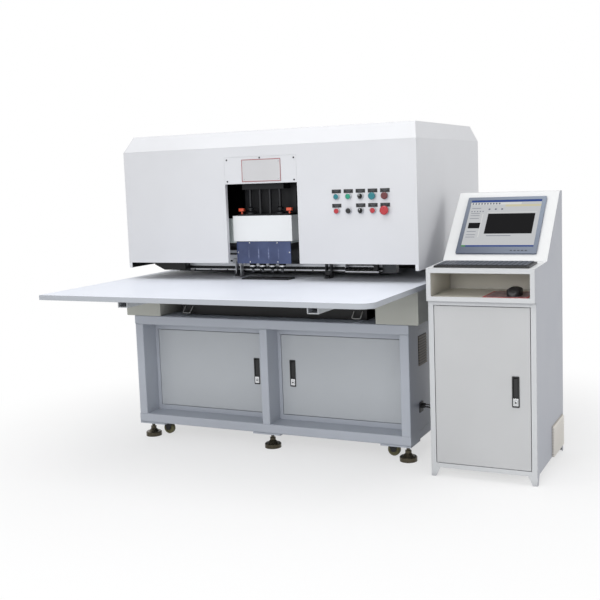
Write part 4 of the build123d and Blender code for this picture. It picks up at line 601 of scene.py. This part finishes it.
def lathe_into(mesh, outline, place, steps=20):
    """Add a turned shape that faces the front: (radius, height) pairs in millimetres."""
    part = bmesh.new()
    rings = []
    for radius, height in outline:
        angles = [2 * math.pi * step / steps for step in range(steps)] if radius else [0.0]
        rings.append([part.verts.new(Vector((radius * math.cos(angle), radius * math.sin(angle), height)) * MM)
                      for angle in angles])
    for lower, upper in zip(rings, rings[1:]):
        for step in range(steps):
            after = (step + 1) % steps
            if len(upper) == 1:
                part.faces.new((lower[step], lower[after], upper[0]))
            else:
                part.faces.new((lower[step], lower[after], upper[after], upper[step]))
    bmesh.ops.transform(part, matrix=Matrix.Translation(at(*place)) @ FACE_FRONT, verts=part.verts)
    merge(mesh, part)


SCREW_SHARES = ((1.0, 0.0), (1.0, 0.4), (0.8, 0.85), (0.55, 1.0), (0.45, 1.0), (0.45, 0.35), (0.0, 0.3))


def screws(name, places, radius, height, look="chrome", body=MACHINE):
    """Button-head screws with a socket, as one piece."""
    mesh = bmesh.new()
    outline = [(radius * across, height * up) for across, up in SCREW_SHARES]
    for place in places:
        lathe_into(mesh, outline, place)
    add_piece(name, mesh, look, body)


# Screws of the cover, the guard, the punch mount, its bracket and the cross beam

COVER_SCREWS = [(x, HEAD_FRONT, z) for x in (-199, 199) for z in (1446, 1560)] + [(0, HEAD_FRONT, 1566.5)]
GUARD_SCREWS = [(HEAD_X + x, GUARD_FRONT, z) for x in (-84, 84) for z in (1011, 1114)]
GUARD_SCREWS += [(HEAD_X + x, GUARD_FRONT, 1062) for x in (-155, 155)]
MOUNT_SCREWS = [(HEAD_X + 205, MOUNT_FRONT, z) for z in (1145, 1190, 1236)]
BRACKET_SCREWS = [(-259, BRACKET_FRONT, z) for z in (1124, 1172, 1222)]
BEAM_SCREWS = [(-560 + 107 * number, FEED_FRONT, 950.5) for number in range(9)]
screws("cover_screws", COVER_SCREWS, radius=4.5, height=2.6, look="inner")
screws("guard_screws", GUARD_SCREWS, radius=4.0, height=2.4)
screws("mount_screws", MOUNT_SCREWS, radius=6.5, height=5.0, look="inner")
screws("bracket_screws", BRACKET_SCREWS, radius=5.5, height=4.0, look="inner")
screws("beam_screws", BEAM_SCREWS, radius=4.5, height=0.8, look="inner", body="gantry")

# Label plates with plain lines over the buttons, except the one in the second place of the lower row

LABEL_HALF, LABEL_TALL, LABEL_RISE, LABEL_THICK, LABEL_ROUND = 25.5, 9.5, 26.5, 1.2, 0.5
LABEL_LINES = ((3.4, 14.0), (-2.6, 9.0))
LINE_TALL, LINE_FRONT, LINE_BACK, LINE_ROUND = 1.1, 1.5, 1.1, 0.1
COLUMNS, UNLABELLED = 5, (1, 0)
labels = bmesh.new()
lines = bmesh.new()
for row in (0, 1):
    for column in range(COLUMNS):
        if (column, row) == UNLABELLED:
            continue
        x = BUTTON_X + column * BUTTON_STEP
        z = BUTTON_LOW + row * BUTTON_ROW + LABEL_RISE
        box_into(labels, (x - LABEL_HALF, HEAD_FRONT - LABEL_THICK, z - LABEL_TALL),
                 (x + LABEL_HALF, HEAD_FRONT, z + LABEL_TALL), LABEL_ROUND)
        for rise, half in LABEL_LINES:
            box_into(lines, (x - half, HEAD_FRONT - LINE_FRONT, z + rise - LINE_TALL),
                     (x + half, HEAD_FRONT - LINE_BACK, z + rise + LINE_TALL), LINE_ROUND)
add_piece("button_labels", labels, "label")
add_piece("label_lines", lines, "label_line")

# White marks on the two selectors' grips

SELECTOR_COLUMN = 2
GRIP_FACE = HEAD_FRONT - 20.0
MARK_HALF, MARK_LOW, MARK_HIGH, MARK_FRONT, MARK_BACK, MARK_ROUND = 1.6, 2.5, 10.5, 0.3, 0.1, 0.1
for row, word in enumerate(("feed", "mode")):
    x = BUTTON_X + SELECTOR_COLUMN * BUTTON_STEP
    z = BUTTON_LOW + row * BUTTON_ROW
    mark = bmesh.new()
    box_into(mark, (x - MARK_HALF, GRIP_FACE - MARK_FRONT, z + MARK_LOW),
             (x + MARK_HALF, GRIP_FACE + MARK_BACK, z + MARK_HIGH), MARK_ROUND)
    add_piece(word + "_selector_mark", mark, "mark", word + "_selector_body")

# Bare plate on the cover, with a red border and rivets

PLATE_LEFT, PLATE_RIGHT, PLATE_LOW, PLATE_HIGH = -108.0, 123.0, 1442.0, 1559.0
PLATE_THICK, PLATE_ROUND = 1.6, 0.6
BORDER, BORDER_FRONT, BORDER_BACK, BORDER_ROUND = 3.0, 2.4, 1.5, 0.3
RIVET_INSET = 13.0
plate = bmesh.new()
box_into(plate, (PLATE_LEFT, HEAD_FRONT - PLATE_THICK, PLATE_LOW), (PLATE_RIGHT, HEAD_FRONT, PLATE_HIGH),
         PLATE_ROUND)
add_piece("bare_plate", plate, "plate")
border = bmesh.new()
for low, high in (((PLATE_LEFT, PLATE_LOW), (PLATE_RIGHT, PLATE_LOW + BORDER)),
                  ((PLATE_LEFT, PLATE_HIGH - BORDER), (PLATE_RIGHT, PLATE_HIGH)),
                  ((PLATE_LEFT, PLATE_LOW + BORDER), (PLATE_LEFT + BORDER, PLATE_HIGH - BORDER)),
                  ((PLATE_RIGHT - BORDER, PLATE_LOW + BORDER), (PLATE_RIGHT, PLATE_HIGH - BORDER))):
    box_into(border, (low[0], HEAD_FRONT - BORDER_FRONT, low[1]), (high[0], HEAD_FRONT - BORDER_BACK, high[1]),
             BORDER_ROUND)
add_piece("plate_border", border, "plate_red")
RIVETS = [(x, HEAD_FRONT - PLATE_THICK, z) for x in (PLATE_LEFT + RIVET_INSET, PLATE_RIGHT - RIVET_INSET)
          for z in (PLATE_LOW + RIVET_INSET, PLATE_HIGH - RIVET_INSET)]
screws("plate_rivets", RIVETS, radius=3.2, height=1.8)

# Lock trim: bright shield and a ring round the keyhole

LOCKS = (("left", -110.0, 331.0, 124.0, "door_left"), ("right", 110.0, 331.0, 124.0, "door_right"),
         ("console", 1375.5, 366.0, -121.5, "console_door"))
KEY_RISE, KEY_FACE = 23.0, 3.0
SHIELD_HALF, SHIELD_LOW, SHIELD_HIGH, SHIELD_THICK, SHIELD_ROUND = 12.5, 16.0, 19.0, 0.9, 0.4
RING = [(9.9, 2.0), (9.9, 2.8), (4.4, 2.8), (4.4, 2.0)]
RING_STEPS = 24
for word, x, low, front, body in LOCKS:
    middle = low + KEY_RISE
    trim = bmesh.new()
    box_into(trim, (x - SHIELD_HALF, front - KEY_FACE - SHIELD_THICK, middle - SHIELD_LOW),
             (x + SHIELD_HALF, front - KEY_FACE, middle + SHIELD_HIGH), SHIELD_ROUND)
    lathe_into(trim, RING, (x, front - KEY_FACE, middle), RING_STEPS)
    add_piece("lock_trim_" + word, trim, "chrome", body)


# Screen of the monitor

def fascia_place():
    """Matrix with x across, y up the sloping fascia and z out of it, at the middle of the fascia."""
    low, high = Vector((0, *FASCIA_LOW)), Vector((0, *FASCIA_HIGH))
    up = (high - low).normalized()
    across = Vector((1, 0, 0))
    turn = Matrix((across, up, across.cross(up))).transposed().to_4x4()
    middle = (low + high) / 2
    return Matrix.Translation(at(CONSOLE_MIDDLE, middle.y, middle.z)) @ turn


FASCIA = fascia_place()
SCREEN_HALF, SCREEN_LOW, SCREEN_HIGH, SCREEN_FACE = 179.0, -145.0, 167.0, 7.0
LAYER = 0.25


def screen_area(name, look, areas, level):
    """Flat areas of the picture: shares of the screen's width and height, at a level above its glass."""
    mesh = bmesh.new()
    width, height = 2 * SCREEN_HALF, SCREEN_HIGH - SCREEN_LOW
    base = SCREEN_FACE + level * LAYER
    for x0, x1, y0, y1 in areas:
        box_into(mesh, (x0 * width - SCREEN_HALF, SCREEN_LOW + y0 * height, base),
                 (x1 * width - SCREEN_HALF, SCREEN_LOW + y1 * height, base + LAYER), 0, FASCIA)
    add_piece(name, mesh, look)


def area_row(count, first, step, width, low, high):
    """Row of equal areas from a first share across, a step apart."""
    return [(first + step * number, first + width + step * number, low, high) for number in range(count)]


TEXT_LINE_SHARES = (0.2, 0.25, 0.32, 0.6, 0.66, 0.71, 0.82)
TEXT_TALL_SHARE = 0.008
ICONS = area_row(10, 0.02, 0.042, 0.022, 0.907, 0.938)
ICONS += area_row(3, 0.27, 0.09, 0.025, 0.785, 0.815)
ICONS += area_row(5, 0.03, 0.04, 0.015, 0.745, 0.765)
ICONS += [(0.03, 0.16, low, low + TEXT_TALL_SHARE) for low in TEXT_LINE_SHARES]
ICONS += [(0.32, 0.66, 0.225, 0.235)]
screen_area("screen_window", "window", [(0.0, 1.0, 0.0, 1.0)], 0)
screen_area("screen_bars", "title", [(0.0, 1.0, 0.955, 1.0), (0.06, 1.0, 0.0, 0.035)], 1)
screen_area("screen_start", "start", [(0.0, 0.06, 0.0, 0.035)], 1)
screen_area("screen_toolbar", "tool", [(0.5, 1.0, 0.855, 0.9)], 1)
screen_area("screen_canvas", "canvas", [(0.28, 0.94, 0.274, 0.704), (0.033, 0.197, 0.39, 0.51)], 1)
screen_area("screen_fields", "field", [(0.0, 0.72, 0.9, 0.945), (0.26, 0.96, 0.725, 0.735),
                                       (0.2, 0.21, 0.2, 0.7)], 1)
screen_area("screen_icons", "icon", ICONS, 2)

# Keys on the lower edge of the screen's frame

SCREEN_KEYS, SCREEN_KEY_LEFT, SCREEN_KEY_STEP, SCREEN_KEY_WIDTH = 5, 70.0, 18.0, 10.0
SCREEN_KEY_LOW, SCREEN_KEY_HIGH = -172.0, -168.0
SCREEN_KEY_BACK, SCREEN_KEY_FRONT, SCREEN_KEY_ROUND = 9.0, 10.2, 0.5
keys = bmesh.new()
for number in range(SCREEN_KEYS):
    left = SCREEN_KEY_LEFT + SCREEN_KEY_STEP * number
    box_into(keys, (left, SCREEN_KEY_LOW, SCREEN_KEY_BACK),
             (left + SCREEN_KEY_WIDTH, SCREEN_KEY_HIGH, SCREEN_KEY_FRONT), SCREEN_KEY_ROUND, FASCIA)
add_piece("screen_keys", keys, "label")


# Floor, backdrop and light, in metres from the middle of the part

FLOOR_RADIUS, FLOOR_STEPS, FLOOR_DROP = 30.0, 64, 0.0004
FLOOR_LIGHT, FLOOR_NOISE, FLOOR_ROUGH, FLOOR_SPECULAR = 0.9, 4.0, (0.7, 0.8), 0.1
FADE_START, FADE_END, FADE_LEAST = 1.2, 2.6, 0.6
SEEN_RAYS = ("Is Camera Ray", "Is Glossy Ray", "Is Transmission Ray")
SKY_COLOUR, SKY_STRENGTH = (0.98, 0.985, 1.0, 1.0), 0.5


def seen_rays(tree):
    """1 for the rays that show the white backdrop, 0 for those that light the part."""
    rays = tree.nodes.new("ShaderNodeLightPath")
    seen = rays.outputs[SEEN_RAYS[0]]
    for kind in SEEN_RAYS[1:]:
        either = tree.nodes.new("ShaderNodeMath")
        either.operation = "MAXIMUM"
        tree.links.new(seen, either.inputs[0])
        tree.links.new(rays.outputs[kind], either.inputs[1])
        seen = either.outputs["Value"]
    return seen


def make_floor():
    """Pale floor that keeps the shadow near the part and fades to white away from it."""
    mesh = bmesh.new()
    bmesh.ops.create_circle(mesh, cap_ends=True, segments=FLOOR_STEPS, radius=FLOOR_RADIUS)
    data = bpy.data.meshes.new("floor")
    mesh.to_mesh(data)
    mesh.free()
    floor = bpy.data.objects.new("floor", data)
    floor.location.z = -FLOOR_DROP
    bpy.context.scene.collection.objects.link(floor)
    t = Tree("floor_paint")
    far = t.node("ShaderNodeVectorMath", operation="LENGTH")
    t.link(t.place, far.inputs[0])
    fade = t.node("ShaderNodeMapRange", interpolation_type="SMOOTHSTEP")
    fade.inputs["From Min"].default_value = FADE_START
    fade.inputs["From Max"].default_value = FADE_END
    fade.inputs["To Min"].default_value = FADE_LEAST
    t.link(far.outputs["Value"], fade.inputs["Value"])
    t.shader.inputs["Base Color"].default_value = grey(FLOOR_LIGHT)
    t.link(t.ramp(t.noise(FLOOR_NOISE), *FLOOR_ROUGH), t.shader.inputs["Roughness"])
    t.shader.inputs["Specular IOR Level"].default_value = FLOOR_SPECULAR
    white = t.node("ShaderNodeEmission")
    blend = t.node("ShaderNodeMixShader")
    t.link(t.math("MULTIPLY", seen_rays(t.tree), fade.outputs["Result"]), blend.inputs["Fac"])
    t.link(t.shader.outputs["BSDF"], blend.inputs[1])
    t.link(white.outputs["Emission"], blend.inputs[2])
    t.link(blend.outputs["Shader"], t.tree.nodes["Material Output"].inputs["Surface"])
    data.materials.append(t.material)


def make_world():
    """White where it is seen, softer where it lights the part."""
    world = bpy.data.worlds.new("studio")
    bpy.context.scene.world = world
    world.use_nodes = True
    tree = world.node_tree
    plain = tree.nodes["Background"]
    plain.inputs["Color"].default_value = SKY_COLOUR
    plain.inputs["Strength"].default_value = SKY_STRENGTH
    white = tree.nodes.new("ShaderNodeBackground")
    white.inputs["Color"].default_value = grey(1.0)
    mix = tree.nodes.new("ShaderNodeMixShader")
    tree.links.new(seen_rays(tree), mix.inputs["Fac"])
    tree.links.new(plain.outputs["Background"], mix.inputs[1])
    tree.links.new(white.outputs["Background"], mix.inputs[2])
    tree.links.new(mix.outputs["Shader"], tree.nodes["World Output"].inputs["Surface"])


def soft_light(name, place, target, size, power):
    data = bpy.data.lights.new(name, "AREA")
    data.size = size
    data.energy = power
    lamp = bpy.data.objects.new(name, data)
    lamp.location = place
    lamp.rotation_euler = (Vector(target) - Vector(place)).to_track_quat("-Z", "Y").to_euler()
    bpy.context.scene.collection.objects.link(lamp)


make_floor()
make_world()
soft_light("front", place=(0.5, -5.2, 2.4), target=(0.0, 0.0, 0.7), size=2.2, power=97.0)
soft_light("side", place=(4.6, 0.4, 2.5), target=(0.4, 0.2, 1.0), size=3.0, power=43.0)
soft_light("top", place=(-0.2, -1.5, 5.2), target=(0.0, -0.2, 0.9), size=4.0, power=94.0)
bpy.context.scene.view_settings.view_transform = "Standard"
